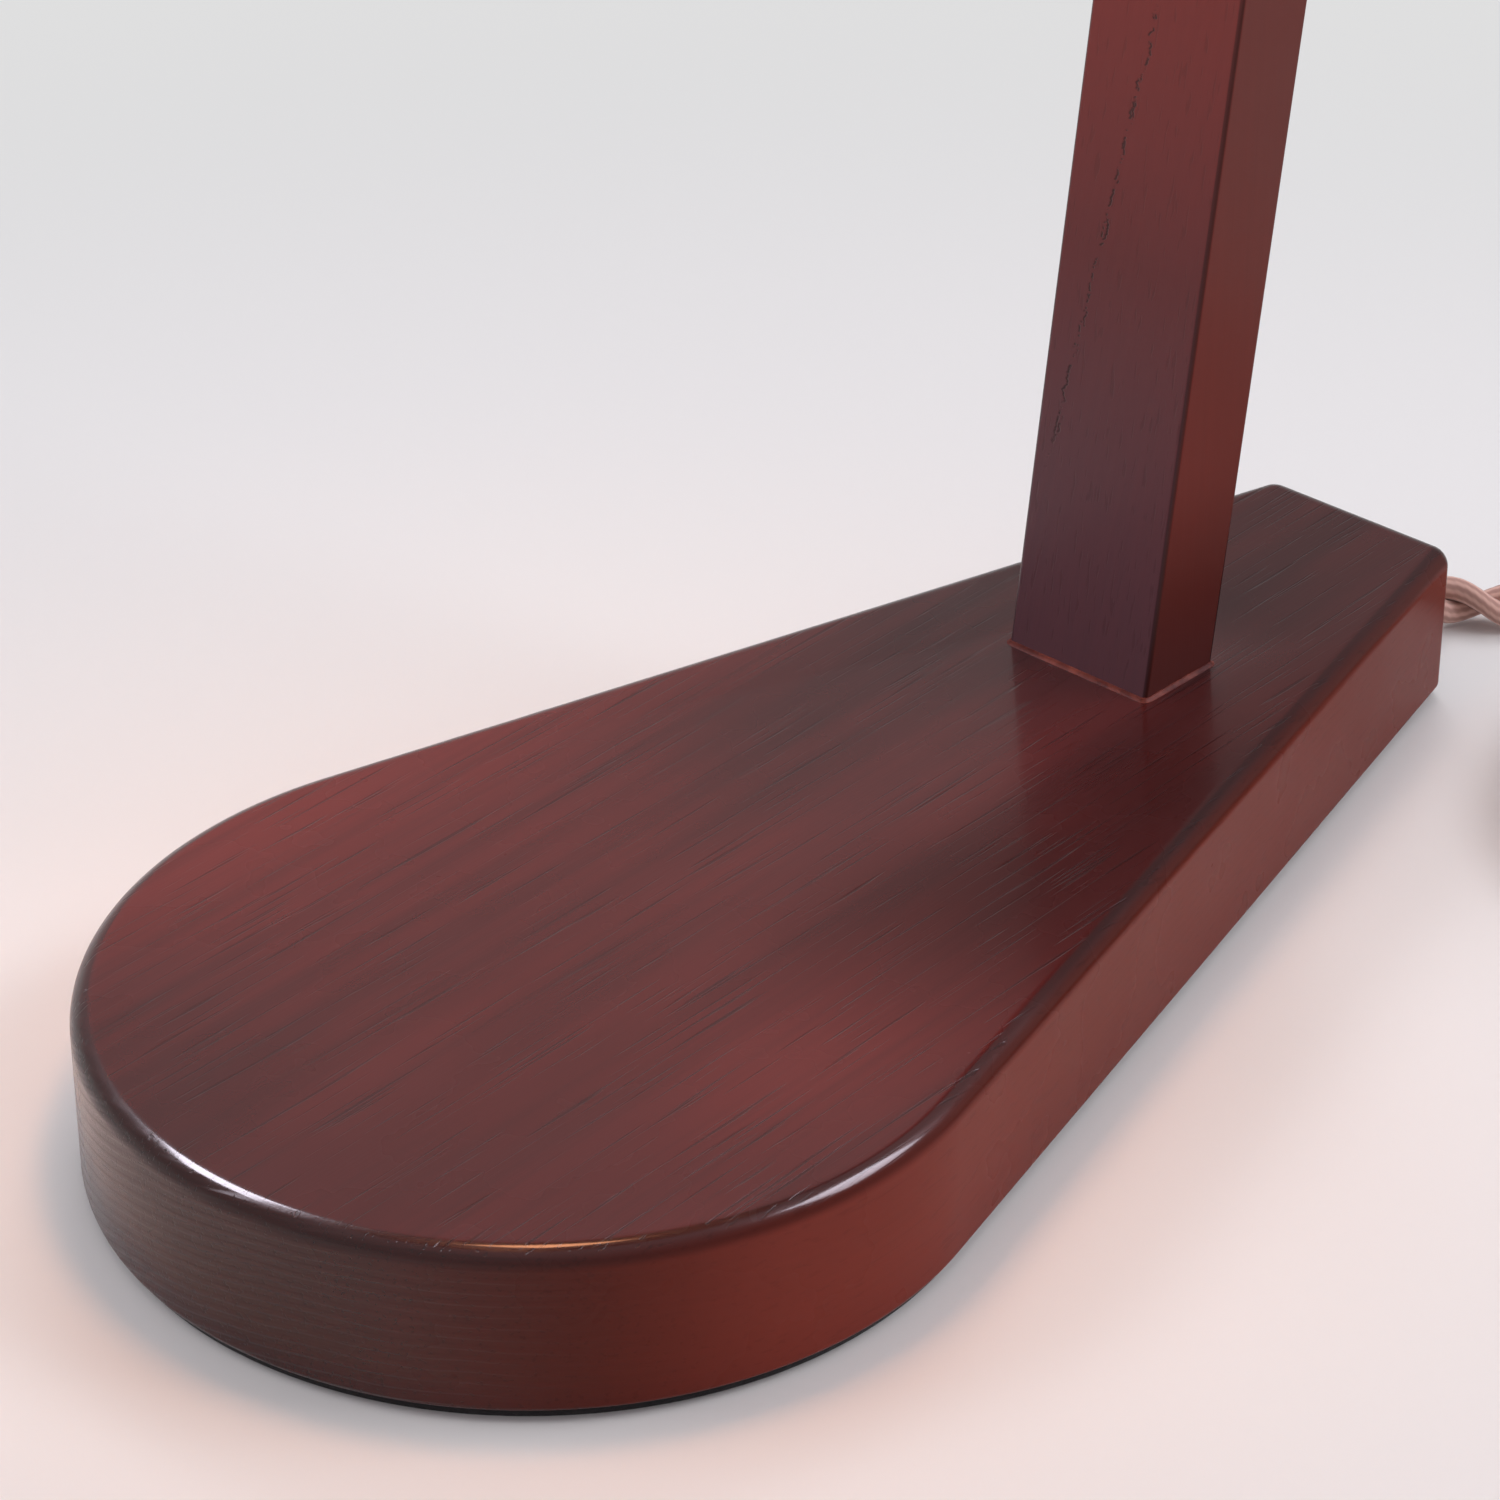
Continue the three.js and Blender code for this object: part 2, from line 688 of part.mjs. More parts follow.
function addStem() {
  const holes = [
    ...Object.values(sides).map(stemScrewHole),
    ...dowelPlaces().map(({ x }) => dowelHole(x)),
  ];
  const stem = cut(stemBlank(), stripSeat(), unlean(wireWay()), ...holes);
  addPiece(leaning, 'stem', stem, lacqueredWood);

  const foot = halfDepth * Math.tan(stemLean) + 2 * seatGap;
  const strip = block(both(grooveHalf - seatGap), [halfDepth - stripThickness, halfDepth],
    [foot, stemLength]);
  addPiece(leaning, 'stem_cover_strip', strip, lacqueredWood);
  for (const [side, sign] of Object.entries(sides)) {
    const screw = sunkScrew(stemScrewHeadRadius, stemScrewShankRadius, stemScrewLength());
    addPiece(leaning, `stem_screw_${side}`, stemScrewPlaced(screw, sign), steel);
  }
}

function armBlank() {
  const outline = [
    new THREE.Vector2(halfWidth, halfDepth),
    new THREE.Vector2(-halfWidth, halfDepth),
    ...arcPoints({ x: 0, y: -armReach, radius: halfWidth, from: Math.PI, to: 2 * Math.PI, steps: smallSides }, 0),
  ];
  return new THREE.ExtrudeGeometry(new THREE.Shape(outline), {
    depth: armThickness - 2 * armEdgeRadius,
    bevelSize: armEdgeRadius,
    bevelOffset: -armEdgeRadius,
    bevelThickness: armEdgeRadius,
    bevelSegments: easedSteps,
    curveSegments: 1,
  }).translate(0, 0, armBottom + armEdgeRadius);
}

function addArm() {
  const stripFront = -armReach + collarRadius + seatGap;
  const stripBack = -halfDepth - seatGap;
  const seat = block(both(grooveHalf), [stripFront - seatGap, stripBack + seatGap],
    [armBottom - overrun, armBottom + stripThickness + seatGap]);
  const nippleHole = rod(nippleRadius + seatGap, armBottom - overrun, armTop + overrun, roundSides);
  nippleHole.translate(0, -armReach, 0);
  const holes = dowelPlaces().map(({ x }) => dowelHole(x));
  addPiece(leaning, 'arm', cut(armBlank(), seat, unlean(wireWay()), nippleHole, ...holes), lacqueredWood);

  const strip = block(both(grooveHalf - seatGap), [stripFront, stripBack],
    [armBottom, armBottom + stripThickness]);
  addPiece(leaning, 'arm_cover_strip', strip, lacqueredWood);
  for (const { side, x } of dowelPlaces()) {
    const dowel = rod(dowelRadius, stemLength - dowelDepth, armTop).translate(x, 0, 0);
    addPiece(leaning, `elbow_dowel_${side}`, dowel, palePeg);
  }
}

// Hanger and knuckle

function addHanger() {
  const hanger = new THREE.Group();
  hanger.position.set(0, -armReach, 0);
  leaning.add(hanger);

  const nippleTop = armTop + nippleThreadTop;
  const slotLow = armBottom + seatGap;
  const slot = block(both(strandSpacing / 2 + strandRadius + seatGap), [0, nippleRadius + overrun],
    [slotLow, slotLow + nippleSlotHeight]);
  addPiece(hanger, 'hanger_nipple', cut(pipe(nippleBoreRadius, nippleRadius, nippleBottom, nippleTop), slot),
    agedBrass);

  const washerLow = armTop + seatGap;
  addPiece(hanger, 'hanger_washer',
    pipe(nippleRadius + seatGap, washerRadius, washerLow, washerLow + washerThickness), agedBrass);

  const nutLow = washerLow + washerThickness + seatGap;
  const nutHigh = nutLow + capNutHeight;
  const bore = nippleRadius + seatGap;
  const waist = capNutRadius - capNutWall / 2;
  addPiece(hanger, 'hanger_cap_nut', turned([
    [bore, nutLow], [capNutRadius, nutLow], [capNutRadius, nutLow + capNutWall], [waist, nutLow + capNutWall],
    ...domePoints(waist, nutLow + capNutWall, nutHigh), [0, nutHigh - capNutWall],
    [bore, nutHigh - capNutWall], [bore, nutLow],
  ]), agedBrass);

  const collarTop = armBottom - seatGap;
  addPiece(hanger, 'hanger_collar', turned([
    [bore, collarTop - collarHeight], [collarNeckRadius, collarTop - collarHeight],
    [collarRadius, collarTop - collarHeight / 2], [collarRadius, collarTop], [bore, collarTop],
    [bore, collarTop - collarHeight],
  ]), agedBrass);

  const knuckle = new THREE.Group();
  knuckle.position.z = pivotAlongStem;
  hanger.add(knuckle);
  const bodyTop = collarTop - collarHeight - seatGap - pivotAlongStem;
  const socket = rod(bore, nippleBottom - pivotAlongStem - seatGap, bodyTop + overrun, roundSides);
  addPiece(knuckle, 'swivel_upper', cut(knuckleHalf(-1, 1, bodyTop), socket, tiltBore(seatGap)), agedBrass);
}

function domePoints(radius, low, high) {
  return Array.from({ length: edgeSteps + 1 }, (_, k) => {
    const turn = (k / edgeSteps) * (Math.PI / 2);
    return [radius * Math.cos(turn), low + (high - low) * Math.sin(turn)];
  });
}

// A rod along +X
function crossRod(radius, left, right, facets) {
  return rod(radius, left, right, facets).rotateY(Math.PI / 2);
}

function tiltBore(room) {
  return crossRod(tiltScrewRadius + room, -knuckleRadius - overrun, knuckleRadius + overrun, smallSides);
}

// Half of the knuckle: an ear on one side of the tilt axis, and the round body that carries it
function knuckleHalf(side, up, reach) {
  const [near, far] = [seatGap / 2, seatGap / 2 + knuckleEarThickness];
  const [left, right] = side > 0 ? [near, far] : [-far, -near];
  const ear = crossRod(knuckleRadius, left, right, roundSides);
  const span = (low, high) => (up > 0 ? [low, high] : [-high, -low]);
  const neck = block([left, right], both(knuckleRadius * neckShare), span(0, knuckleBodyStart + seatGap));
  const [low, high] = span(knuckleBodyStart, reach);
  return join(ear, neck, rod(knuckleBodyRadius, low, high, roundSides));
}

function addKnuckle() {
  const reach = knuckleEnd;
  const stub = rod(holderNippleRadius, -reach - holderNippleLength, -reach + seatGap, roundSides);
  const lower = join(knuckleHalf(1, -1, reach), stub);
  addPiece(head, 'swivel_lower', cut(lower, tiltBore(seatGap)), agedBrass);

  const face = seatGap / 2 + knuckleEarThickness + seatGap;
  const screw = new THREE.Group();
  screw.position.set(0, 0, pivotHeight);
  lamp.add(screw);
  const shank = crossRod(tiltScrewRadius, -face, face + thumbNutThickness + seatGap, smallSides);
  const cap = crossRod(tiltScrewHeadRadius, -face - tiltScrewHeadHeight, -face, roundSides);
  addPiece(screw, 'tilt_screw', join(shank, cap), agedBrass);
  addPiece(screw, 'tilt_thumb_nut', thumbNut().translate(face, 0, 0), agedBrass);
}

function thumbNut() {
  const steps = thumbNutFlutes * 4;
  const outline = Array.from({ length: steps }, (_, k) => {
    const turn = (k / steps) * 2 * Math.PI;
    const radius = thumbNutRadius - (thumbNutFluteDepth / 2) * (1 - Math.cos(turn * thumbNutFlutes));
    return new THREE.Vector2(radius * Math.cos(turn), radius * Math.sin(turn));
  });
  const shape = new THREE.Shape(outline);
  shape.holes.push(new THREE.Path(polygon(tiltScrewRadius + seatGap, smallSides)));
  return new THREE.ExtrudeGeometry(shape, { depth: thumbNutThickness, bevelEnabled: false }).rotateY(Math.PI / 2);
}

// Lamp holder

function addHolder() {
  const bore = holderNippleRadius + seatGap;
  const inside = holderCapRadius - holderWall;
  const shoulder = capTop - holderCapHeight / 2;
  const capBottom = capTop - holderCapHeight;
  addPiece(head, 'holder_cap', turned([
    [bore, capTop - holderWall], [bore, capTop], [holderCapTopRadius, capTop],
    ...shoulderPoints(holderCapTopRadius, holderCapRadius, capTop, shoulder),
    [holderCapRadius, capBottom], [inside, capBottom],
    ...shoulderPoints(holderCapTopRadius, inside, capTop - holderWall, shoulder).reverse(),
    [holderCapTopRadius, capTop - holderWall], [bore, capTop - holderWall],
  ]), agedBrass);

  const shellTop = capBottom + shellOverlap;
  const shell = pipe(holderShellRadius - holderWall, holderShellRadius, mouth + seatGap, shellTop);
  const outletHole = crossRod(outletRadius + seatGap, 0, outletReach, smallSides);
  outletHole.translate(0, 0, capTop - outletDepth);
  addPiece(head, 'holder_shell', cut(shell, outletHole), agedBrass);

  const linerRadius = holderShellRadius - holderWall - seatGap;
  const liner = pipe(linerRadius - linerWall, linerRadius, mouth, shellTop);
  addPiece(head, 'holder_liner', cut(liner, outletHole), fibre);

  const baseRadius = linerRadius - linerWall - seatGap;
  const baseTop = shellTop - seatGap;
  const baseBottom = baseTop - socketBaseThickness;
  const blockTop = baseTop + seatGap + switchBlockHeight;
  const base = rod(baseRadius, baseBottom, baseTop, roundSides);
  addPiece(head, 'socket_base', base, porcelain);
  addPiece(head, 'switch_block', rod(switchBlockRadius, blockTop - switchBlockHeight, blockTop, roundSides),
    bakelite);

  const threadTop = baseBottom - seatGap;
  const screwShell = pipe(screwShellBore, screwShellBore + screwShellWall, mouth + seatGap, threadTop);
  addPiece(head, 'screw_shell', screwShell, lampWire);
  const contact = new THREE.Shape([
    [-contactWidth, 0], [contactWidth, 0], [contactWidth, -contactThickness], [contactThickness, -contactDepth],
    [-contactThickness, -contactDepth], [-contactThickness, -contactThickness], [-contactWidth, -contactThickness],
  ].map(([x, y]) => new THREE.Vector2(x, y)));
  const spring = new THREE.ExtrudeGeometry(contact, { depth: contactWidth, bevelEnabled: false });
  spring.rotateX(Math.PI / 2).translate(0, contactWidth / 2, threadTop);
  addPiece(head, 'centre_contact', spring, agedBrass);
  return threadTop;
}

// The round shoulder of a spun brass cap, from its flat top out to its wall
function shoulderPoints(from, to, high, low) {
  return Array.from({ length: edgeSteps }, (_, k) => {
    const turn = ((k + 1) / edgeSteps) * (Math.PI / 2);
    return [from + (to - from) * Math.sin(turn), low + (high - low) * Math.cos(turn)];
  });
}

// The collar that carries the shade, and the ring nut that clamps the shade's spider to it
function addShadeClamp() {
  const bore = holderShellRadius + seatGap;
  const flangeTop = mouth + skirtHeight;
  const flangeBottom = flangeTop - skirtFlangeThickness;
  addPiece(head, 'shade_carrier', turned([
    [bore, mouth], [skirtRadius, mouth], [skirtRadius, flangeBottom], [skirtFlangeRadius, flangeBottom],
    [skirtFlangeRadius, flangeTop], [bore, flangeTop], [bore, mouth],
  ]), bakelite);
  const hubTop = flangeBottom - seatGap;
  const nutTop = hubTop - spiderHubThickness - seatGap;
  addPiece(head, 'shade_ring_nut', pipe(skirtRadius + seatGap, ringNutRadius, nutTop - ringNutHeight, nutTop),
    bakelite);
  return hubTop;
}

// Pull switch

function addPull() {
  const axisHeight = capTop - outletDepth;
  const corners = [
    new THREE.Vector3(holderShellRadius - holderWall - linerWall, 0, axisHeight),
    new THREE.Vector3(outletReach, 0, axisHeight),
    new THREE.Vector3(outletReach, 0, axisHeight - outletLength),
  ];
  const route = roundedRoute(corners, [outletBendRadius], edgeSteps);
  const outlet = sweep(ringShape(outletBoreRadius, outletRadius, smallSides), route);
  addPiece(head, 'chain_outlet', outlet, agedBrass);

  const chainTop = axisHeight - outletLength + chainSinkDepth;
  const profile = [[0, chainTop]];
  const bead = beadShare * beadRadius;
  for (let i = 0; i < beadCount; i += 1) {
    const middle = chainTop - i * beadPitch - beadPitch / 2;
    profile.push([linkRadius, middle + bead], [beadRadius, middle], [linkRadius, middle - bead]);
  }
  const chainBottom = chainTop - beadCount * beadPitch;
  profile.push([linkRadius, chainBottom], [0, chainBottom]);
  const pull = new THREE.Group();
  pull.position.x = outletReach;
  head.add(pull);
  addPiece(pull, 'pull_chain', turned(profile, loopSides), agedBrass);

  const bellTop = chainBottom - seatGap;
  const [bellWaist, bellBottom] = [bellTop - bellHeight / 2, bellTop - bellHeight];
  addPiece(pull, 'pull_bell', turned([
    [0, bellTop], [bellNeckRadius, bellTop], [bellNeckRadius, bellTop - bellHeight / 4],
    [bellRadius * bellWaistShare, bellWaist], [bellRadius, bellBottom], [0, bellBottom],
  ], smallSides), agedBrass);
}

// Bulb

function bulbOutline(inset) {
  const bottom = mouth - bulbLength;
  const centre = bottom + bulbRadius;
  const radius = bulbRadius - inset;
  const flank = bulbFlankShare * (Math.PI / 2);
  const points = [];
  for (let k = 0; k <= bulbSteps; k += 1) {
    const turn = -Math.PI / 2 + (k / bulbSteps) * (Math.PI / 2 + flank);
    points.push([radius * Math.cos(turn), centre + radius * Math.sin(turn)]);
  }
  const start = new THREE.Vector2(...points[points.length - 1]);
  const ahead = new THREE.Vector2(-Math.sin(flank), Math.cos(flank));
  const end = new THREE.Vector2(bulbNeckRadius - inset, mouth - seatGap);
  const pull = start.distanceTo(end) * bulbPullShare;
  const flankCurve = new THREE.CubicBezierCurve(start, start.clone().addScaledVector(ahead, pull),
    end.clone().add(new THREE.Vector2(0, -pull)), end);
  return [...points, ...flankCurve.getPoints(edgeSteps).slice(1).map((point) => [point.x, point.y])];
}

function addBulb(threadTop) {
  const outer = bulbOutline(0);
  const inner = bulbOutline(bulbWall).reverse();
  addPiece(head, 'bulb_glass', turned([...outer, ...inner]), opalGlass);

  const capTopEdge = mouth + bulbCapLength;
  const tipTop = Math.min(capTopEdge + bulbTipHeight, threadTop - contactDepth - seatGap);
  const capInside = bulbCapRadius - bulbCapWall;
  const [shoulder, crown] = [capTopEdge - bulbTipHeight, capTopEdge - bulbTipHeight / 2];
  addPiece(head, 'bulb_cap', turned([
    [capInside, mouth], [bulbCapRadius, mouth], [bulbCapRadius, shoulder], [bulbTipRadius + bulbTipHeight, crown],
    [0, crown], [0, crown - bulbCapWall], [capInside, shoulder - bulbCapWall], [capInside, mouth],
  ]), lampWire);
  addPiece(head, 'bulb_tip', turned([
    [0, crown + seatGap], [bulbTipRadius, crown + seatGap], [bulbTipRadius / 2, tipTop], [0, tipTop],
  ], smallSides), lampWire);
}

// Shade

const shadeTop = -shadeDepth;
const shadeBottom = shadeTop - shadeHeight;

function shadeRadiusAt(height) {
  return shadeTopRadius + ((shadeBottomRadius - shadeTopRadius) * (shadeTop - height)) / shadeHeight;
}

// A band of the shade's cone, between two heights and two distances out from its outer face
function shadeBand(low, high, inner, outer) {
  return turned([
    [shadeRadiusAt(low) + inner, low], [shadeRadiusAt(low) + outer, low],
    [shadeRadiusAt(high) + outer, high], [shadeRadiusAt(high) + inner, high],
    [shadeRadiusAt(low) + inner, low],
  ], shadeSides);
}

function wireRing(radius, height) {
  return new THREE.TorusGeometry(radius, shadeWireRadius, loopSides, shadeSides).translate(0, 0, height);
}

function addShade(hubTop) {
  addPiece(head, 'shade_panel', shadeBand(shadeBottom, shadeTop, -shadeWall, 0), linen);
  const trim = (low) => shadeBand(low, low + trimWidth, seatGap, seatGap + trimThickness);
  addPiece(head, 'shade_trim_top', trim(shadeTop - trimWidth), linen);
  addPiece(head, 'shade_trim_bottom', trim(shadeBottom), linen);

  const wireInset = shadeWall + seatGap + shadeWireRadius;
  const topWire = shadeTop - shadeWireRadius;
  const bottomWire = shadeBottom + shadeWireRadius;
  const slope = (shadeBottomRadius - shadeTopRadius) / shadeHeight;
  const ringRadius = (height) => shadeRadiusAt(height) - wireInset - slope * shadeWireRadius;
  addPiece(head, 'shade_bottom_wire', wireRing(ringRadius(bottomWire), bottomWire), lampWire);

  const hub = pipe(skirtRadius + seatGap, spiderHubRadius, hubTop - spiderHubThickness, hubTop);
  const arms = [0, 1, 2].map((k) => {
    const turn = (k / 3) * 2 * Math.PI + Math.PI / 2;
    const out = (radius, height) => new THREE.Vector3(radius * Math.cos(turn), radius * Math.sin(turn), height);
    const start = out(spiderHubRadius - spiderArmRadius / 2, hubTop - spiderHubThickness / 2);
    return sweep(roundShape(spiderArmRadius, loopSides), [start, out(ringRadius(topWire), topWire)]);
  });
  addPiece(head, 'shade_spider', join(wireRing(ringRadius(topWire), topWire), hub, ...arms), lampWire);
}

// Cord: its free stretch, its coil, its tie and its plug

const runCurve = new THREE.CatmullRomCurve3(cordRoute.map((point) => new THREE.Vector3(...point)), false,
  'centripetal');
const runEnd = new THREE.Vector3(...cordRoute[cordRoute.length - 1]);
const coilAhead = runCurve.getTangent(1).setZ(0).normalize();
const coilEntry = runEnd.clone().addScaledVector(coilAhead, leadLength);
const woundLength = cordLength - runCurve.getLength() - leadLength - tailLength;
const coilMiddleRadius = woundLength / (2 * Math.PI * coilTurns);
const coilSpread = (coilTurns / 2) * coilPitch;
const coilOuterRadius = coilMiddleRadius + coilSpread / 2;
const coilLow = cordRadius + floorGap + coilLift;
const plugHeight = plugRadius + floorGap;

function coilCentre() {
  const right = new THREE.Vector3(coilAhead.y, -coilAhead.x, 0);
  return coilEntry.clone().addScaledVector(right, coilOuterRadius).setZ(0);
}

// A point of the coil after so many turns: in to the middle, up a layer, and out again
function coilPoint(turns) {
  const centre = coilCentre();
  const start = Math.atan2(coilEntry.y - centre.y, coilEntry.x - centre.x);
  const angle = start - turns * 2 * Math.PI;
  const radius = coilOuterRadius - coilPitch * Math.min(turns, coilTurns - turns);
  const eased = (from, span) => THREE.MathUtils.smoothstep(turns, from, from + span);
  const climb = eased((coilTurns - climbTurns) / 2, climbTurns);
  const finish = eased(coilTurns - finishTurns, finishTurns);
  const height = coilLow + coilPitch * climb + (plugHeight - coilLow - coilPitch) * finish;
  return new THREE.Vector3(centre.x + radius * Math.cos(angle), centre.y + radius * Math.sin(angle), height);
}

function coilLine(steps) {
  const count = Math.round(coilTurns * steps);
  const points = Array.from({ length: count + 1 }, (_, i) => coilPoint((i / count) * coilTurns));
  const end = points[points.length - 1];
  const ahead = end.clone().sub(points[points.length - 2]).setZ(0).normalize();
  return { points, end: end.clone().addScaledVector(ahead, tailLength), ahead };
}

// The least distance from face to face between one turn and another
function coilLeastGap() {
  const { points } = coilLine(loopSteps * gapSamples);
  const near = (loopSteps * gapSamples) / 2;
  let least = Infinity;
  for (let i = 0; i < points.length; i += gapSamples) {
    for (let k = i + near; k < points.length; k += 1) least = Math.min(least, points[i].distanceTo(points[k]));
  }
  return least - 2 * cordRadius;
}

function addCord() {
  const runShape = roundShape(cordRadius, cordSides);
  const run = new THREE.ExtrudeGeometry(runShape, { steps: runSteps, extrudePath: runCurve, curveSegments: 1 });
  addPiece(lamp, 'cord_run', run, roseCotton);

  const { points, end, ahead } = coilLine(loopSteps);
  const first = runEnd.clone().addScaledVector(coilAhead, seatGap);
  const last = end.clone().addScaledVector(ahead, -seatGap);
  const line = [first, ...points, last];
  addPiece(lamp, 'cord_coil', sweep(roundShape(cordRadius, loopSides), line), roseCotton);
  console.log(`least gap of the coil to itself ${coilLeastGap().toFixed(2)} mm`);
  return { end, ahead };
}

function addTie() {
  const centre = coilCentre();
  const start = Math.atan2(coilEntry.y - centre.y, coilEntry.x - centre.x);
  const along = start + tieTurn;
  const held = Array.from({ length: Math.floor(coilTurns) }, (_, k) => k - tieTurn / (2 * Math.PI));
  const radii = held.map((turns) => coilOuterRadius - coilPitch * Math.min(turns, coilTurns - turns));
  const inner = Math.min(...radii) - cordRadius - tieGap;
  const outer = Math.max(...radii) + cordRadius + tieGap;
  const low = floorGap + tieThickness;
  const high = coilLow + coilPitch + cordRadius + tieGap;
  const wall = 2 * tieThickness;
  const shape = new THREE.Shape(
    roundedRectangle(outer - inner + wall, high - low + wall, tieCornerRadius + tieThickness, easedSteps));
  shape.holes.push(new THREE.Path(
    roundedRectangle(outer - inner, high - low, tieCornerRadius, easedSteps)));
  const tie = new THREE.ExtrudeGeometry(shape, { depth: tieWidth, bevelEnabled: false });
  tie.translate((inner + outer) / 2, (low + high) / 2, -tieWidth / 2).rotateX(Math.PI / 2);
  addPiece(lamp, 'cord_tie', tie.rotateZ(along).translate(centre.x, centre.y, 0), darkWebbing);
}

function addPlug({ end, ahead }) {
  const plug = new THREE.Group();
  plug.position.set(end.x, end.y, plugHeight);
  plug.rotation.z = Math.atan2(ahead.y, ahead.x);
  lamp.add(plug);

  const shares = plugProfileShares.map(([along, between]) => [
    THREE.MathUtils.lerp(plugThroatRadius, plugRadius, between), along * plugLength]);
  const face = [[plugFaceRadius, plugLength], [0, plugLength]];
  const body = turned([[0, 0], [plugThroatRadius, 0], ...shares, ...face]).rotateY(Math.PI / 2);
  const blade = (sign, room) => {
    const middle = (sign * bladeSpacing) / 2;
    const across = [middle - bladeThickness / 2 - room, middle + bladeThickness / 2 + room];
    return block([plugLength - bladeRootLength - room, plugLength + bladeLength], across, both(bladeWidth / 2 + room));
  };
  const slots = Object.values(sides).map((sign) => blade(sign, seatGap));
  addPiece(plug, 'plug_body', cut(body, ...slots), bakelite);
  for (const [side, sign] of Object.entries(sides)) {
    addPiece(plug, `plug_blade_${side}`, blade(sign, 0), lampWire);
  }
}

addBoard();
addWeight();
addBushAndClamp();
addWires();
addStem();
addArm();
addHanger();
addKnuckle();
const threadTop = addHolder();
const hubTop = addShadeClamp();
addPull();
addBulb(threadTop);
addShade(hubTop);
addTie();
addPlug(addCord());

export default lamp;
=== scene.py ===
"""A wooden table lamp: a teardrop board, a leaning stem, a forward arm and a linen shade.

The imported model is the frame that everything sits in. Each sub-assembly is a class that holds its sizes,
makes its finer pieces in the place of their nodes, and dresses the nodes that stay as they are.
Sizes are in millimetres, in the frame's own axes, and meshes are written in metres.
"""

from __future__ import annotations

import logging
from dataclasses import dataclass
from enum import Enum
from math import acos, atan2, cos, dist, hypot, pi, radians, sin, tan
from typing import Iterable, Sequence

import bmesh
import bpy
import numpy as np
from mathutils import Matrix, Vector


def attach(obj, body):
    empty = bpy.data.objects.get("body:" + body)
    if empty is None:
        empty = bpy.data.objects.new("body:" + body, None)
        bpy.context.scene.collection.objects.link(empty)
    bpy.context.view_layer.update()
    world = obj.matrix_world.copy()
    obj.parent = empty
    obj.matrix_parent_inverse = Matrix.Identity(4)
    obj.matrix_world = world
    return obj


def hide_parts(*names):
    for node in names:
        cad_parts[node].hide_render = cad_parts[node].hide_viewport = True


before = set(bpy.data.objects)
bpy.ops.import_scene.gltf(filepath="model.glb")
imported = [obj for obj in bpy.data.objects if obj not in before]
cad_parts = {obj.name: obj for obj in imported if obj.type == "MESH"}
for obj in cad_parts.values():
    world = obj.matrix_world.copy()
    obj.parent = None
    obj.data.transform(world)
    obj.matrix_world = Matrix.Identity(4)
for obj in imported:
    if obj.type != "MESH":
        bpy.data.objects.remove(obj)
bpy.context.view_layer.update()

LOG = logging.getLogger("table_lamp")
MM = 0.001
SEAT_GAP = 0.3  # between pieces that are glued, screwed or laid together
WELD = 1e-7  # in metres

Point = tuple[float, float]
Sizes = tuple[float, ...]
Colour = tuple[float, float, float, float]
Piece = bpy.types.Object
Material = bpy.types.Material
Socket = bpy.types.NodeSocket
ACROSS = Matrix.Rotation(pi / 2, 4, "Y")  # lays +Z along +X


class Body(Enum):
    """The bodies of the frame that a piece can move with."""

    STAND = "stand"
    HEAD = "head"
    PULL = "pull"


class Grain(Enum):
    """The way that the wood's fibres run, as the turn that brings them along the pattern's X axis."""

    BOARD = (0.0, 0.0, -radians(92))
    STEM = (0.0, radians(90), 0.0)
    ARM = (0.0, 0.0, -radians(90))


def srgb(red: float, green: float, blue: float) -> Colour:
    """Turns a colour of 0 to 255 as it is seen on a screen into a linear one."""
    shares = (value / 255 for value in (red, green, blue))
    return (*(s / 12.92 if s <= 0.04045 else ((s + 0.055) / 1.055) ** 2.4 for s in shares), 1.0)


# Meshes


def as_object(name: str, data: bpy.types.ID) -> Piece:
    """Puts a mesh, a light or a camera in the scene.

    Args:
        name: The object's name.
        data: What it shows.

    Returns:
        The new object, at the origin.
    """
    piece = bpy.data.objects.new(name, data)
    bpy.context.scene.collection.objects.link(piece)
    return piece


def tidy(mesh: bpy.types.Mesh, sharp: float = 32.0) -> bpy.types.Mesh:
    """Closes seams and poles, turns faces outwards and shades smooth below an angle.

    Args:
        mesh: The mesh to clean, in metres.
        sharp: Edges that bend by more than so many degrees stay crisp.

    Returns:
        The same mesh.
    """
    work = bmesh.new()
    work.from_mesh(mesh)
    bmesh.ops.remove_doubles(work, verts=work.verts, dist=WELD)
    bmesh.ops.dissolve_degenerate(work, edges=work.edges, dist=WELD)
    bmesh.ops.recalc_face_normals(work, faces=work.faces)
    work.to_mesh(mesh)
    work.free()
    mesh.shade_smooth()
    mesh.set_sharp_from_angle(angle=radians(sharp))
    return mesh


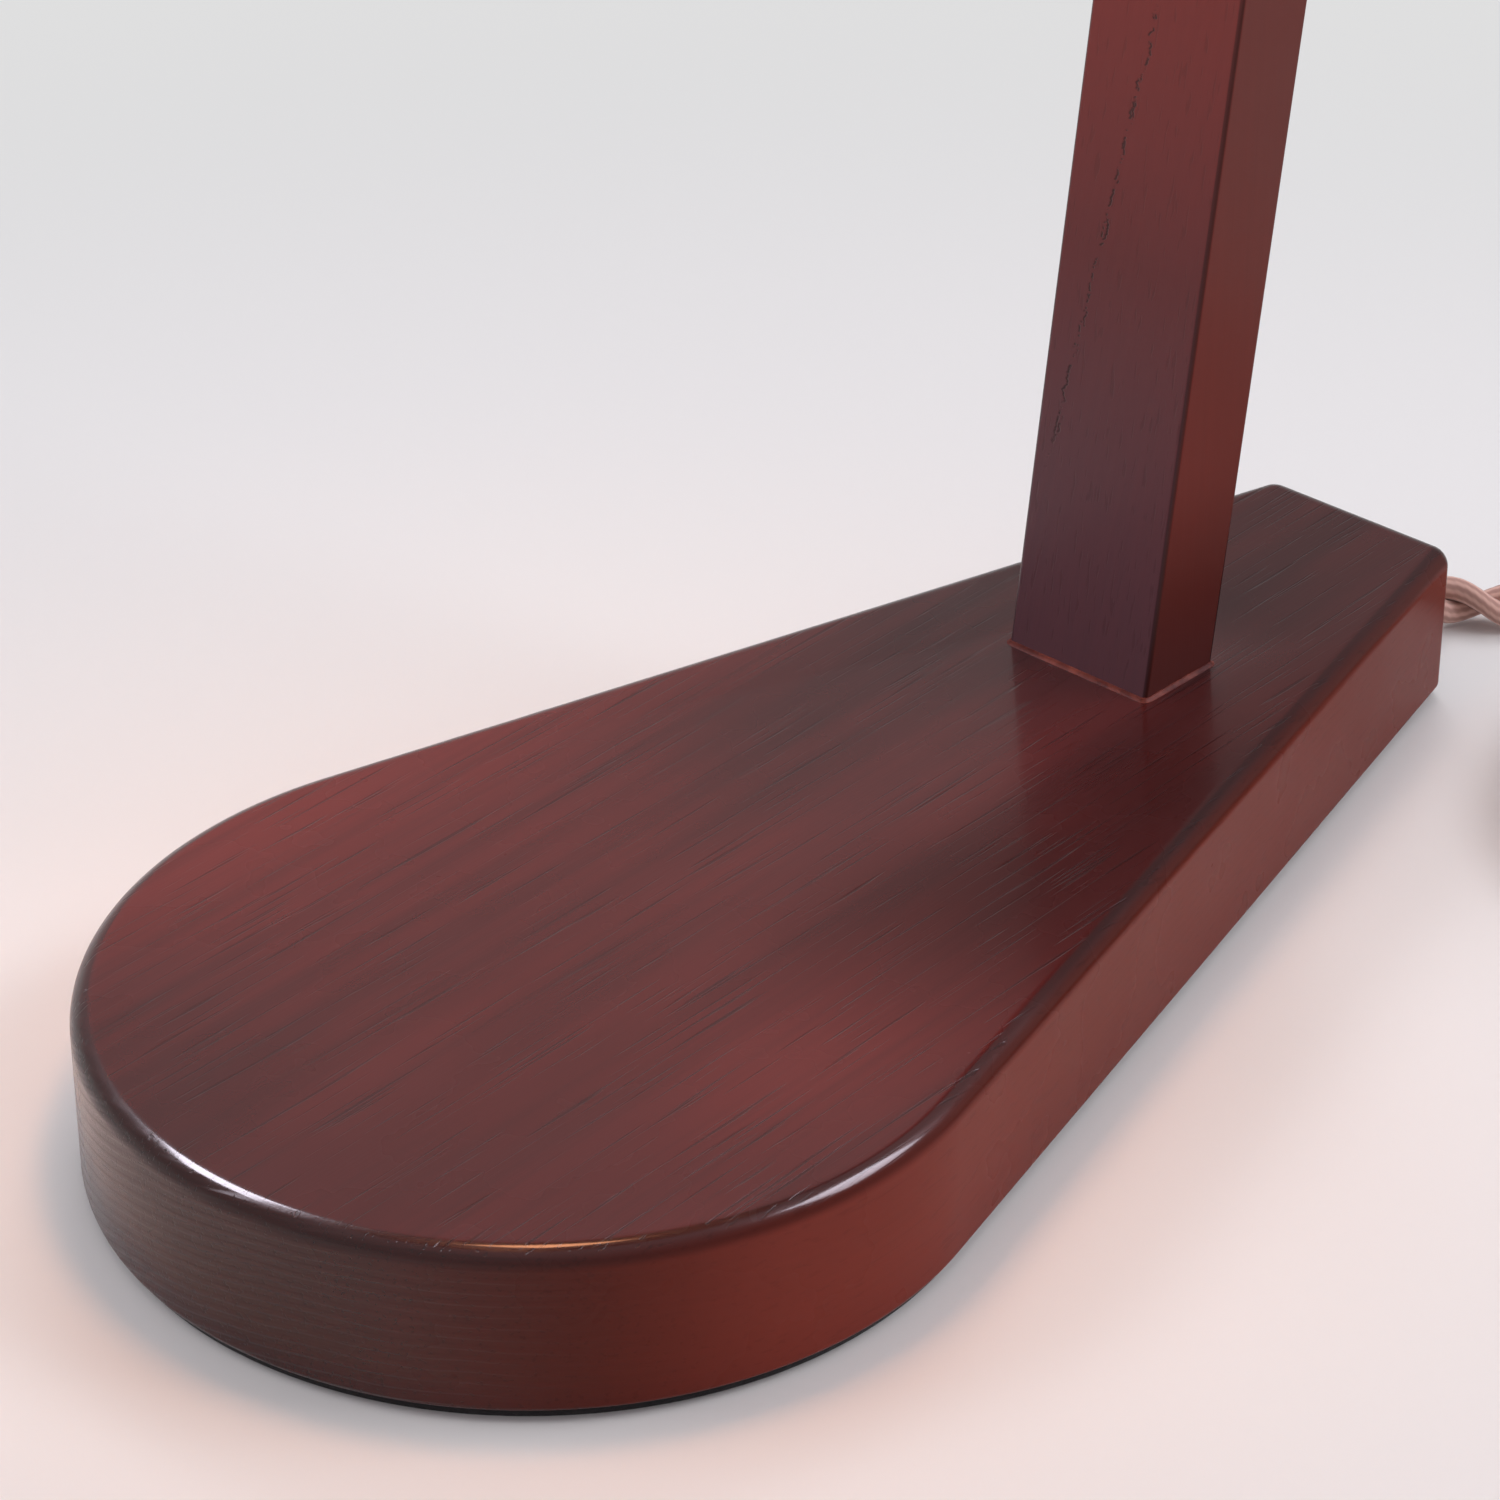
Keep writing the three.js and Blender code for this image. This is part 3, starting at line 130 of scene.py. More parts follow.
def skin(
    name: str,
    rings: Sequence[np.ndarray],
    placement: Matrix = Matrix.Identity(4),
    loop: bool = False,
    sharp: float = 32.0,
) -> Piece:
    """Makes a closed body between rings that have as many points each.

    Args:
        name: The piece's name.
        rings: Rings of points in millimetres. A ring of one repeated point makes a pole.
        placement: From the piece's own axes to the frame's, in millimetres.
        loop: Whether the last ring joins the first. Otherwise both ends are capped.
        sharp: The angle in degrees past which an edge stays crisp.

    Returns:
        The object, with its place in its mesh.
    """
    count = len(rings[0])
    spans = len(rings) if loop else len(rings) - 1
    faces: list[tuple[int, ...]] = []
    for span in range(spans):
        here, there = span * count, ((span + 1) % len(rings)) * count
        for i in range(count):
            after = (i + 1) % count
            faces.append((here + i, here + after, there + after, there + i))
    if not loop:
        faces.append(tuple(range(count))[::-1])
        faces.append(tuple(range((len(rings) - 1) * count, len(rings) * count)))
    mesh = bpy.data.meshes.new(name)
    mesh.from_pydata(np.concatenate(rings).tolist(), [], faces)
    mesh.transform(Matrix.Scale(MM, 4) @ placement)
    return as_object(name, tidy(mesh, sharp))


def circle(radius: float, sides: int, height: float = 0.0, turn: float = 0.0) -> np.ndarray:
    """Gives a ring of points about +Z, in millimetres."""
    angles = turn + np.arange(sides) * 2 * np.pi / sides
    return np.stack([radius * np.cos(angles), radius * np.sin(angles), np.full(sides, height)], 1)


def turned(
    name: str,
    profile: Sequence[Point],
    placement: Matrix = Matrix.Identity(4),
    sides: int = 96,
    sharp: float = 32.0,
) -> Piece:
    """Makes a body turned about +Z.

    Args:
        name: The piece's name.
        profile: Points of radius and height. It ends on the axis, or where it began.
        placement: From the piece's own axes to the frame's.
        sides: The number of facets round it.
        sharp: The angle past which an edge stays crisp.

    Returns:
        The object.
    """
    loop = dist(profile[0], profile[-1]) < WELD and profile[0][0] > 0
    points = profile[:-1] if loop else profile
    return skin(name, [circle(r, sides, z) for r, z in points], placement, loop, sharp)


def sleeve(bore: float, radius: float, low: float, high: float) -> list[Point]:
    """Gives the profile of a plain ring between two heights, or of a disc where the bore is zero."""
    corners = [(bore, low), (radius, low), (radius, high), (bore, high)]
    return corners + corners[:1] if bore else corners


def bent(corners: Sequence[Point], radius: float, steps: int = 5) -> list[Point]:
    """Rounds the inner corners of a profile.

    Args:
        corners: Points of radius and height.
        radius: The radius of each rounded corner, made smaller where a side is too short for it.
        steps: The number of steps in each rounded corner.

    Returns:
        The profile with its corners rounded.
    """
    result = [tuple(corners[0])]
    for before, here, after in zip(corners, corners[1:], corners[2:]):
        to_before, to_after = Vector(before) - Vector(here), Vector(after) - Vector(here)
        apart = min(to_before.length, to_after.length)
        half = to_before.angle(to_after) / 2 if apart > WELD else 0.0
        if not radians(2) <= half <= radians(88):
            result.append(tuple(here))
            continue
        reach = min(radius / tan(half), 0.48 * to_before.length, 0.48 * to_after.length)
        start = Vector(here) + to_before.normalized() * reach
        end = Vector(here) + to_after.normalized() * reach
        for step in range(steps + 1):
            share = step / steps
            point = start * (1 - share) ** 2 + Vector(here) * 2 * share * (1 - share) + end * share**2
            result.append((point.x, point.y))
    return result + [tuple(corners[-1])]


def tube(
    name: str,
    path: np.ndarray,
    radius: float,
    placement: Matrix = Matrix.Identity(4),
    sides: int = 20,
    bore: float = 0.0,
) -> Piece:
    """Makes a round rod or pipe along a path.

    Args:
        name: The piece's name.
        path: Points of its centreline, in millimetres.
        radius: Its outer radius.
        placement: From the piece's own axes to the frame's.
        sides: The number of facets round it.
        bore: Its inner radius, or zero for a rod.

    Returns:
        The object.
    """
    frames = carried_frames(path)
    angles = np.arange(sides) * 2 * np.pi / sides
    flat = np.cos(angles)[:, None], np.sin(angles)[:, None]

    def ring(at: int, size: float) -> np.ndarray:
        """Gives the ring of some radius round a point of the path."""
        side, up = frames[at]
        return path[at] + size * (flat[0] * side + flat[1] * up)

    outer = [ring(i, radius) for i in range(len(path))]
    inner = [ring(i, bore) for i in reversed(range(len(path)))] if bore else []
    return skin(name, outer + inner, placement, loop=bool(bore), sharp=40)


def carried_frames(path: np.ndarray) -> list[tuple[np.ndarray, np.ndarray]]:
    """Carries a pair of cross axes along a path without twist.

    Args:
        path: Points of the path.

    Returns:
        For each point, two unit vectors across the path: sideways and up where it starts level.
    """
    along = np.gradient(path, axis=0)
    along /= np.linalg.norm(along, axis=1)[:, None]
    start = np.array([0.0, 0.0, 1.0]) if abs(along[0][2]) < 0.9 else np.array([0.0, 1.0, 0.0])
    up = start - along[0] * np.dot(start, along[0])
    frames = []
    for ahead in along:
        up = up - ahead * np.dot(up, ahead)
        up /= np.linalg.norm(up)
        frames.append((np.cross(ahead, up), up))
    return frames


def box(name: str, low: Sizes, high: Sizes,
        placement: Matrix = Matrix.Identity(4)) -> Piece:
    """Makes a box between two corners, as a cutter or a blank."""
    plan = [(low[0], low[1]), (high[0], low[1]), (high[0], high[1]), (low[0], high[1])]
    return skin(name, [np.array([(*corner, z) for corner in plan]) for z in (low[2], high[2])], placement)


def hull_of(node: str, room: float = SEAT_GAP) -> Piece:
    """Makes a cutter of a node's convex hull with some room round it.

    Args:
        node: The node that the cutter clears.
        room: The clearance in millimetres.

    Returns:
        The cutter.
    """
    work = bmesh.new()
    work.from_mesh(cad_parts[node].data)
    bmesh.ops.remove_doubles(work, verts=work.verts, dist=WELD)
    found = bmesh.ops.convex_hull(work, input=work.verts)
    inside = [item for item in found["geom_interior"] if isinstance(item, bmesh.types.BMVert)]
    bmesh.ops.delete(work, geom=inside, context="VERTS")
    loose = [edge for edge in work.edges if not edge.link_faces]
    bmesh.ops.delete(work, geom=loose, context="EDGES")
    bmesh.ops.recalc_face_normals(work, faces=work.faces)
    moves = [(vert, vert.normal.copy() * vert.calc_shell_factor() * room * MM) for vert in work.verts]
    for vert, move in moves:
        vert.co += move
    mesh = bpy.data.meshes.new(f"room_for_{node}")
    work.to_mesh(mesh)
    work.free()
    return as_object(mesh.name, mesh)


def combined(body: Piece, tools: Iterable[Piece], operation: str = "DIFFERENCE",
             sharp: float = 32.0) -> Piece:
    """Cuts tools out of a body, or joins them to it, and removes the tools.

    Args:
        body: The piece that is changed.
        tools: The solids to cut with or to add.
        operation: DIFFERENCE or UNION.
        sharp: The angle past which an edge stays crisp.

    Returns:
        The changed body.
    """
    used = list(tools)
    for tool in used:
        step = body.modifiers.new(tool.name, "BOOLEAN")
        step.operation, step.object, step.solver = operation, tool, "EXACT"
    settle(body)
    tidy(body.data, sharp)
    weighted = body.modifiers.new("weighted", "WEIGHTED_NORMAL")
    weighted.weight, weighted.keep_sharp = 100, True
    settle(body)
    for tool in used:
        bpy.data.objects.remove(tool)
    return body


def settle(piece: Piece) -> Piece:
    """Turns an object with modifiers into one with a plain mesh.

    Args:
        piece: The object.

    Returns:
        The same object.
    """
    depsgraph = bpy.context.evaluated_depsgraph_get()
    mesh = bpy.data.meshes.new_from_object(piece.evaluated_get(depsgraph), depsgraph=depsgraph)
    mesh.name = piece.name
    piece.modifiers.clear()
    piece.data = mesh
    return piece


# Node trees


class Tree:
    """Short calls to add nodes to a node tree and to join them."""

    def __init__(self, tree: bpy.types.NodeTree) -> None:
        """Holds the shader or geometry tree that nodes go into."""
        self.tree = tree

    def add(self, kind: str, inputs: dict | None = None, **properties: object) -> bpy.types.Node:
        """Adds a node.

        Args:
            kind: The node's type.
            inputs: A value or another node's output for each socket, by its name or number.
            properties: The node's own settings.

        Returns:
            The new node.
        """
        node = self.tree.nodes.new(kind)
        for name, value in properties.items():
            setattr(node, name, value)
        for key, value in (inputs or {}).items():
            if isinstance(value, Socket):
                self.tree.links.new(value, node.inputs[key])
            else:
                node.inputs[key].default_value = value
        return node

    def math(self, operation: str, *values: float | Socket) -> Socket:
        """Adds a Math node and returns its output."""
        return self.add("ShaderNodeMath", dict(enumerate(values)), operation=operation).outputs[0]

    def times(self, *values: float | Socket) -> Socket:
        """Multiplies two values."""
        return self.math("MULTIPLY", *values)

    def plus(self, *values: float | Socket) -> Socket:
        """Adds two values."""
        return self.math("ADD", *values)

    def parts(self, vector: Socket) -> Sequence[Socket]:
        """Takes a vector apart into its three numbers."""
        return self.add("ShaderNodeSeparateXYZ", {0: vector}).outputs

    def noise(self, vector: Socket, scale: float, detail: float = 2.0, roughness: float = 0.5) -> Socket:
        """Adds a noise texture and returns its factor."""
        inputs = {"Vector": vector, "Scale": scale, "Detail": detail, "Roughness": roughness}
        return self.add("ShaderNodeTexNoise", inputs).outputs[0]

    def ramp(self, factor: Socket, stops: Sequence[tuple[float, Colour]]) -> Socket:
        """Adds a colour ramp.

        Args:
            factor: What runs along the ramp.
            stops: Places from 0 to 1 and their colours.

        Returns:
            The ramp's colour.
        """
        node = self.add("ShaderNodeValToRGB", {0: factor})
        elements = node.color_ramp.elements
        for index, (place, colour) in enumerate(stops):
            element = elements[index] if index < len(elements) else elements.new(place)
            element.position, element.color = place, colour
        return node.outputs[0]

    def span(self, value: Socket, low: float, high: float, to_low: float = 0.0,
             to_high: float = 1.0) -> Socket:
        """Maps a range of values smoothly onto another, and returns the output."""
        inputs = {"Value": value, "From Min": low, "From Max": high, "To Min": to_low, "To Max": to_high}
        return self.add("ShaderNodeMapRange", inputs, interpolation_type="SMOOTHSTEP").outputs[0]

    def blend(self, factor: float | Socket, first: Colour | Socket, second: Colour | Socket,
              kind: str = "MIX") -> Socket:
        """Mixes two colours and returns the result."""
        node = self.add("ShaderNodeMix", {0: factor, 6: first, 7: second}, data_type="RGBA", blend_type=kind)
        return node.outputs[2]

    def stretched(self, source: Socket, scale: Sizes, turn: Sizes = (0, 0, 0),
                  shift: Sizes = (0, 0, 0)) -> Socket:
        """Turns, moves and stretches coordinates, and returns them."""
        first = self.add("ShaderNodeMapping", {"Vector": source, "Rotation": turn, "Location": shift})
        return self.add("ShaderNodeMapping", {"Vector": first.outputs[0], "Scale": scale}).outputs[0]


class Shader(Tree):
    """A material's tree, with its shader and its object coordinates."""

    def __init__(self, name: str, **sockets: float | Colour) -> None:
        """Makes the material.

        Args:
            name: The finish's name.
            sockets: Constants of the shader, by socket name with underscores for blanks.
        """
        self.material = bpy.data.materials.new(name)
        self.material.use_nodes = True
        super().__init__(self.material.node_tree)
        self.shader = next(n for n in self.tree.nodes if n.type == "BSDF_PRINCIPLED")
        for key, value in sockets.items():
            self.shader.inputs[key.replace("_", " ")].default_value = value
        coordinates = self.add("ShaderNodeTexCoord")
        self.place, self.uv, self.normal = (coordinates.outputs[name] for name in ("Object", "UV", "Normal"))

    def drawn(self, scale: Sizes, detail: float = 2.0, roughness: float = 0.5,
              **moves: Sizes) -> Socket:
        """Adds noise that is drawn out along the object's axes, with more scale for finer noise."""
        return self.noise(self.stretched(self.place, scale, **moves), 1.0, detail, roughness)

    def set(self, **links: Socket) -> None:
        """Joins outputs to the shader's sockets, by name with underscores for blanks."""
        for key, output in links.items():
            self.tree.links.new(output, self.shader.inputs[key.replace("_", " ")])

    def bump(self, height: Socket, strength: float, distance: float) -> None:
        """Raises the surface by a pattern of 0 to 1, whose full height is a distance in metres."""
        inputs = {"Height": height, "Strength": strength, "Distance": distance}
        self.set(Normal=self.add("ShaderNodeBump", inputs).outputs[0])


# Finishes


@dataclass(frozen=True)
class LacqueredWood:
    """Stained hardwood under satin lacquer, with open grain along one way."""

    grain: Grain
    shift: tuple[float, float, float] = (0.0, 0.03, 0.16)
    # Turns on the crack up the stem's front, and the painted light and shade on the stem.
    crack: bool = False
    gloss: float = 0.12
    open_pores: float = 1.0
    coat: float = 0.6
    dark: Colour = srgb(52, 16, 15)
    middle: Colour = srgb(82, 26, 24)
    red: Colour = srgb(108, 37, 33)
    pore: Colour = srgb(34, 10, 10)
    end: Colour = srgb(46, 18, 11)
    side: Colour = srgb(124, 54, 45)

    def material(self) -> Material:
        """Makes the material: growth rings, streaks, blotches of stain, open pores, and painted light and
        shade.

        Returns:
            The new material.
        """
        wood = Shader(
            f"lacquered_wood_{self.grain.name.lower()}{'_crack' if self.crack else ''}",
            Coat_Roughness=self.gloss, Coat_IOR=1.5,
        )
        turn = self.grain.value
        rings_place = wood.stretched(wood.place, (0.05, 1, 1), turn, self.shift)
        rings = wood.add(
            "ShaderNodeTexWave",
            {"Vector": rings_place, "Scale": 190.0, "Distortion": 5.0, "Detail": 2.0, "Detail Scale": 0.22},
            wave_type="RINGS", rings_direction="X",
        ).outputs["Fac"]
        strong = wood.span(wood.drawn((30, 60, 200), turn=turn), 0.35, 0.65, 0.35)
        rings = wood.times(wood.span(rings, 0.2, 0.95), strong)
        streaks = wood.drawn((9, 420, 420), 3.0, 0.6, turn=turn)
        fibres = wood.drawn((60, 2400, 2400), 2.0, 0.6, turn=turn)
        pores = wood.span(wood.drawn((38, 1600, 1600), 1.0, turn=turn), 0.61, 0.7)
        patches = wood.drawn((6, 14, 14), turn=turn)
        across, onward, height_above = wood.parts(wood.place)
        # Painted shade: the board's top is darker on the right of its front and round the stem's foot,
        # standing for the stem's shadow and its dark reflection. Its coat is thinner there too.
        darker = wood.times(wood.span(across, 0.002, 0.03), wood.span(onward, 0.0, 0.06))
        darker = wood.math("MAXIMUM", darker, wood.span(onward, 0.11, 0.14, 0.0, 0.7))
        darker = wood.times(darker, float(self.grain is Grain.BOARD))
        patches = wood.math("MULTIPLY_ADD", darker, -0.28, patches)
        stain = wood.ramp(patches, [(0.32, self.dark), (0.52, self.middle), (0.72, self.red)])
        streaked = wood.blend(wood.span(streaks, 0.42, 0.75, 0.0, 0.35), stain, self.dark)
        colour = wood.blend(wood.times(rings, 0.14), streaked, self.red)
        along = wood.parts(wood.stretched(wood.normal, (1, 1, 1), turn))[0]
        end = wood.span(wood.math("ABSOLUTE", along), 0.25, 0.75)
        facing = wood.parts(wood.normal)
        side = wood.span(wood.math("ABSOLUTE", facing[0]), 0.35, 0.9)
        openness = wood.math("MULTIPLY_ADD", side, -0.8 * self.open_pores, self.open_pores)
        pores = wood.times(pores, openness)
        # Faces that point along X take a lighter, warmer tone: partly the edge grain's own colour, partly
        # painted light of the lit side walls.
        colour = wood.blend(wood.times(side, 0.6), colour, self.side)
        colour = wood.blend(wood.times(end, 0.6), colour, self.end)
        if self.crack:
            # Painted light on the stem: its front is bluish grey at the foot, a painted reflection, and
            # lighter red towards the top. Its sides are painted darker near the foot, painted shade.
            rise = wood.span(height_above, 0.02, 0.16)
            foot, waist, high = srgb(88, 66, 78), srgb(108, 44, 46), srgb(164, 60, 52)
            worn = wood.ramp(rise, [(0.0, foot), (0.45, waist), (1.0, high)])
            colour = wood.blend(wood.span(facing[1], -0.9, -0.5, 0.75, 0.0), colour, worn)
            shade = wood.times(side, wood.span(rise, 0.0, 0.2, 0.6, 0.0))
            colour = wood.blend(shade, colour, self.dark)
        colour = wood.blend(wood.times(pores, 0.5), colour, self.pore)
        colour = wood.blend(wood.times(self.edges(wood, facing), 0.62), colour, self.pore)
        relief = wood.times(rings, wood.math("MULTIPLY_ADD", end, 1.7, 0.12))
        height = wood.plus(relief, wood.times(fibres, 0.25))
        height = wood.times(wood.math("SUBTRACT", height, pores), wood.math("MULTIPLY_ADD", side, -0.7, 1.0))
        if self.crack:
            line = self.crack_line(wood)
            colour = wood.blend(wood.times(line, 0.75), colour, self.pore)
            height = wood.math("SUBTRACT", height, wood.times(line, 1.6))
        matt, clouds = wood.math("MAXIMUM", side, darker), wood.noise(wood.place, 60.0, 3.0)
        wood.set(
            Base_Color=colour,
            Roughness=wood.span(clouds, 0.3, 0.7, 0.12 + self.gloss, 0.2 + self.gloss),
            Coat_Weight=wood.math("MULTIPLY_ADD", matt, -0.8 * self.coat, self.coat),
            Specular_IOR_Level=wood.math("MULTIPLY_ADD", side, -0.09 * (self.grain is Grain.BOARD), 0.12),
        )
        wood.bump(height, 0.45, 0.0002)
        return wood.material

    def edges(self, wood: Shader, facing: Sequence[Socket]) -> Socket:
        """Finds the edges that the colour darkens: the board's rim, or a timber's eased arrises.

        Args:
            wood: The material that it goes into.
            facing: The three parts of the surface's normal.

        Returns:
            Their strength from 0 to 1.
        """
        if self.grain is Grain.BOARD:
            up = facing[2]
            return wood.times(wood.span(up, 0.05, 0.5), wood.span(up, 0.97, 0.9999, 1.0, 0.0))
        x, y, z = (wood.math("ABSOLUTE", part) for part in facing)
        pairs = [wood.times(*pair) for pair in ((x, y), (y, z), (z, x))]
        return wood.span(wood.math("MAXIMUM", pairs[0], wood.math("MAXIMUM", *pairs[1:])), 0.2, 0.42)

    def crack_line(self, wood: Shader) -> Socket:
        """Draws the broken hairline crack that runs up the front of the stem.

        Args:
            wood: The material that it goes into.

        Returns:
            Its strength from 0 to 1.
        """
        across, _, up = wood.parts(wood.place)
        slope = wood.math("MULTIPLY_ADD", up, 0.127, -0.0165)
        whole = None
        for shift, reach in ((0.0, 0.003), (0.7, 0.0046)):
            wiggle = wood.drawn((40, 40, 150), 4.0, 0.75, shift=(shift, 0, 0))
            wander = wood.times(wood.math("SUBTRACT", wiggle, 0.5), reach)
            beside = wood.math("SUBTRACT", across, slope)
            away = wood.math("ABSOLUTE", wood.math("SUBTRACT", beside, wander))
            thin = wood.span(away, 0.00005, 0.0003, 1.0, 0.0)
            breaks = wood.drawn((60, 60, 420), 3.0, 0.75, shift=(shift, 0, 0))
            broken = wood.times(thin, wood.span(breaks, 0.49, 0.56))
            whole = broken if whole is None else wood.math("MAXIMUM", whole, broken)
        ends = wood.times(wood.span(up, 0.05, 0.062), wood.span(up, 0.13, 0.15, 1.0, 0.0))
        return wood.times(whole, ends)


@dataclass(frozen=True)
class Glue:
    """The thin bright line of lacquer and glue in a joint."""

    colour: Colour = srgb(126, 64, 54)

    def material(self) -> Material:
        """Makes the material: clear reddish film that thickens and thins.

        Returns:
            The new material.
        """
        film = Shader("glue_line", Roughness=0.5, Specular_IOR_Level=0.08)
        patches = film.noise(film.place, 420.0, 3.0)
        film.set(Base_Color=film.ramp(patches, [(0.35, srgb(78, 30, 26)), (0.7, self.colour)]))
        film.bump(patches, 0.4, 0.0002)
        return film.material


@dataclass(frozen=True)
class Metal:
    """A metal with fine turning or drawing marks, and tarnish in patches."""

    name: str
    bright: Colour
    tarnished: Colour
    roughness: float = 0.3
    metallic: float = 1.0
    marks: tuple[float, float, float] = (60, 60, 3200)
    tarnish_scale: float = 90.0

    def material(self) -> Material:
        """Makes the material.

        Returns:
            The new material.
        """
        metal = Shader(self.name, Metallic=self.metallic)
        marks = metal.drawn(self.marks)
        patches = metal.noise(metal.place, self.tarnish_scale, 4.0, 0.62)
        aged = metal.span(patches, 0.42, 0.72, 0.0, 0.8)
        rough = metal.span(patches, 0.3, 0.7, self.roughness - 0.06, self.roughness + 0.12)
        rough = metal.plus(rough, metal.times(marks, 0.08))
        metal.set(Base_Color=metal.blend(aged, self.bright, self.tarnished), Roughness=rough)
        metal.bump(marks, 0.12, 0.00006)
        return metal.material


@dataclass(frozen=True)
class Moulded:
    """A moulded or fired material with faint mottling and a fine surface."""

    name: str
    light: Colour
    dark: Colour
    roughness: float
    coat: float = 0.0
    mottle_scale: float = 160.0
    grain_scale: float = 2600.0
    grain_depth: float = 0.00003

    def material(self) -> Material:
        """Makes the material.

        Returns:
            The new material.
        """
        stuff = Shader(self.name, Coat_Weight=self.coat, Coat_Roughness=0.1)
        mottle = stuff.noise(stuff.place, self.mottle_scale, 3.0, 0.6)
        grain = stuff.noise(stuff.place, self.grain_scale, 2.0)
        stuff.set(
            Base_Color=stuff.ramp(mottle, [(0.32, self.dark), (0.68, self.light)]),
            Roughness=stuff.span(mottle, 0.3, 0.7, self.roughness - 0.04, self.roughness + 0.06),
        )
        stuff.bump(grain, 0.25, self.grain_depth)
        return stuff.material


@dataclass(frozen=True)
class Fibrous:
    """Felt or pressed fibre: short tangled hairs and a soft sheen."""

    name: str
    light: Colour
    dark: Colour
    sheen: float = 0.3

    def material(self) -> Material:
        """Makes the material.

        Returns:
            The new material.
        """
        felt = Shader(self.name, Roughness=0.95, Sheen_Weight=self.sheen, Sheen_Roughness=0.4)
        hairs = felt.drawn((900, 900, 2200), 5.0, 0.75)
        felt.set(Base_Color=felt.ramp(hairs, [(0.35, self.dark), (0.65, self.light)]))
        felt.bump(hairs, 0.6, 0.0003)
        return felt.material


@dataclass(frozen=True)
class Linen:
    """Plain woven linen with slubs, on the sheet's own map: threads round it and threads up it."""

    name: str = "linen"
    light: Colour = srgb(233, 223, 204)
    dark: Colour = srgb(196, 182, 158)
    threads: tuple[float, float] = (760.0, 210.0)

    def material(self) -> Material:
        """Makes the material.

        Returns:
            The new material.
        """
        cloth = Shader(self.name, Roughness=0.85, Sheen_Weight=0.15, Sheen_Roughness=0.5)
        around, up = self.threads
        warp = self.wave(cloth, around, 0)
        weft = self.wave(cloth, up, 1)
        slubs_up = cloth.noise(cloth.stretched(cloth.uv, (around * 0.6, 14, 1)), 1.0, 1.0)
        slubs_round = cloth.noise(cloth.stretched(cloth.uv, (46, up * 0.6, 1)), 1.0, 1.0)
        slubs = cloth.times(cloth.plus(slubs_up, slubs_round), 0.5)
        weave = cloth.times(cloth.plus(warp, weft), 0.5)
        # The colour follows the weave as well as the slubs: darker between the threads, painted shade, and
        # varied at random by the slubs.
        tone = cloth.plus(cloth.times(slubs, 0.65), cloth.times(weave, 0.35))
        cloth.set(Base_Color=cloth.ramp(tone, [(0.3, self.dark), (0.62, self.light)]))
        cloth.bump(cloth.plus(weave, slubs), 0.5, 0.00018)
        return cloth.material

    def wave(self, cloth: Shader, count: float, axis: int) -> Socket:
        """Makes the roundness of so many threads across one axis of the map.

        Args:
            cloth: The material that they go into.
            count: The number of threads.
            axis: 0 for threads side by side round the sheet, 1 for up it.

        Returns:
            Their height from 0 to 1.
        """
        across = cloth.parts(cloth.uv)[axis]
        turn = cloth.times(across, count * pi)
        return cloth.math("ABSOLUTE", cloth.math("SINE", turn))


@dataclass(frozen=True)
class BraidedCotton:
    """Braided cotton over a wire: two sets of slanting ribs on the strand's own map."""

    light: Colour = srgb(208, 168, 154)
    dark: Colour = srgb(168, 127, 116)
    shade: Colour = srgb(189, 148, 136)
    rib: float = 3.0  # along the strand, in millimetres
    ribs_round: int = 8

    def material(self) -> Material:
        """Makes the material. The map runs in millimetres along the strand, and once round it.

        Returns:
            The new material.
        """
        cotton = Shader("rose_cotton", Roughness=0.88, Sheen_Weight=0.35, Sheen_Roughness=0.4)
        apart = cotton.parts(cotton.uv)
        along = cotton.times(apart[0], 2 * pi / self.rib)
        round_it = cotton.times(apart[1], 2 * pi * self.ribs_round)
        right = cotton.math("SINE", cotton.plus(along, round_it))
        left = cotton.math("SINE", cotton.math("SUBTRACT", along, round_it))
        both = cotton.math("MULTIPLY_ADD", right, 0.2, cotton.times(left, 0.8))
        over = cotton.span(both, -0.8, 0.9)
        fuzz = cotton.noise(cotton.stretched(cotton.uv, (3.0, 90, 1)), 1.0, 3.0, 0.7)
        # The colour follows the ribs: darker in the braid's grooves, painted shade, and lighter on the
        # crests, with random fuzz in the yarn's tone.
        tone = cotton.plus(cotton.times(over, 0.7), cotton.times(fuzz, 0.3))
        cotton.set(Base_Color=cotton.ramp(tone, [(0.15, self.dark), (0.5, self.shade), (0.85, self.light)]))
        cotton.bump(tone, 0.3, 0.0001)
        return cotton.material


@dataclass(frozen=True)
class Webbing:
    """A woven strap: ribs across it, in object coordinates."""

    light: Colour = srgb(58, 51, 52)
    dark: Colour = srgb(28, 24, 26)

    def material(self) -> Material:
        """Makes the material.

        Returns:
            The new material.
        """
        strap = Shader("dark_webbing", Roughness=0.9, Sheen_Weight=0.3, Sheen_Roughness=0.4)
        ribs = strap.drawn((1500, 1500, 700), 1.0)
        hairs = strap.noise(strap.place, 3200.0, 3.0, 0.7)
        tone = strap.times(strap.plus(ribs, hairs), 0.5)
        strap.set(Base_Color=strap.ramp(tone, [(0.4, self.dark), (0.62, self.light)]))
        strap.bump(tone, 0.7, 0.0003)
        return strap.material


@dataclass(frozen=True)
class OpalGlass:
    """Opal white glass, lit from inside at a low level."""

    colour: Colour = srgb(250, 244, 232)
    glow: Colour = srgb(255, 214, 160)

    def material(self) -> Material:
        """Makes the material: a smooth skin over faintly clouded white.

        Returns:
            The new material.
        """
        glass = Shader("opal_glass", Roughness=0.12, Coat_Weight=0.4, Coat_Roughness=0.05,
                       Emission_Color=self.glow, Emission_Strength=0.35)
        clouds = glass.noise(glass.place, 40.0, 3.0)
        glass.set(Base_Color=glass.ramp(clouds, [(0.3, srgb(240, 232, 218)), (0.7, self.colour)]))
        return glass.material


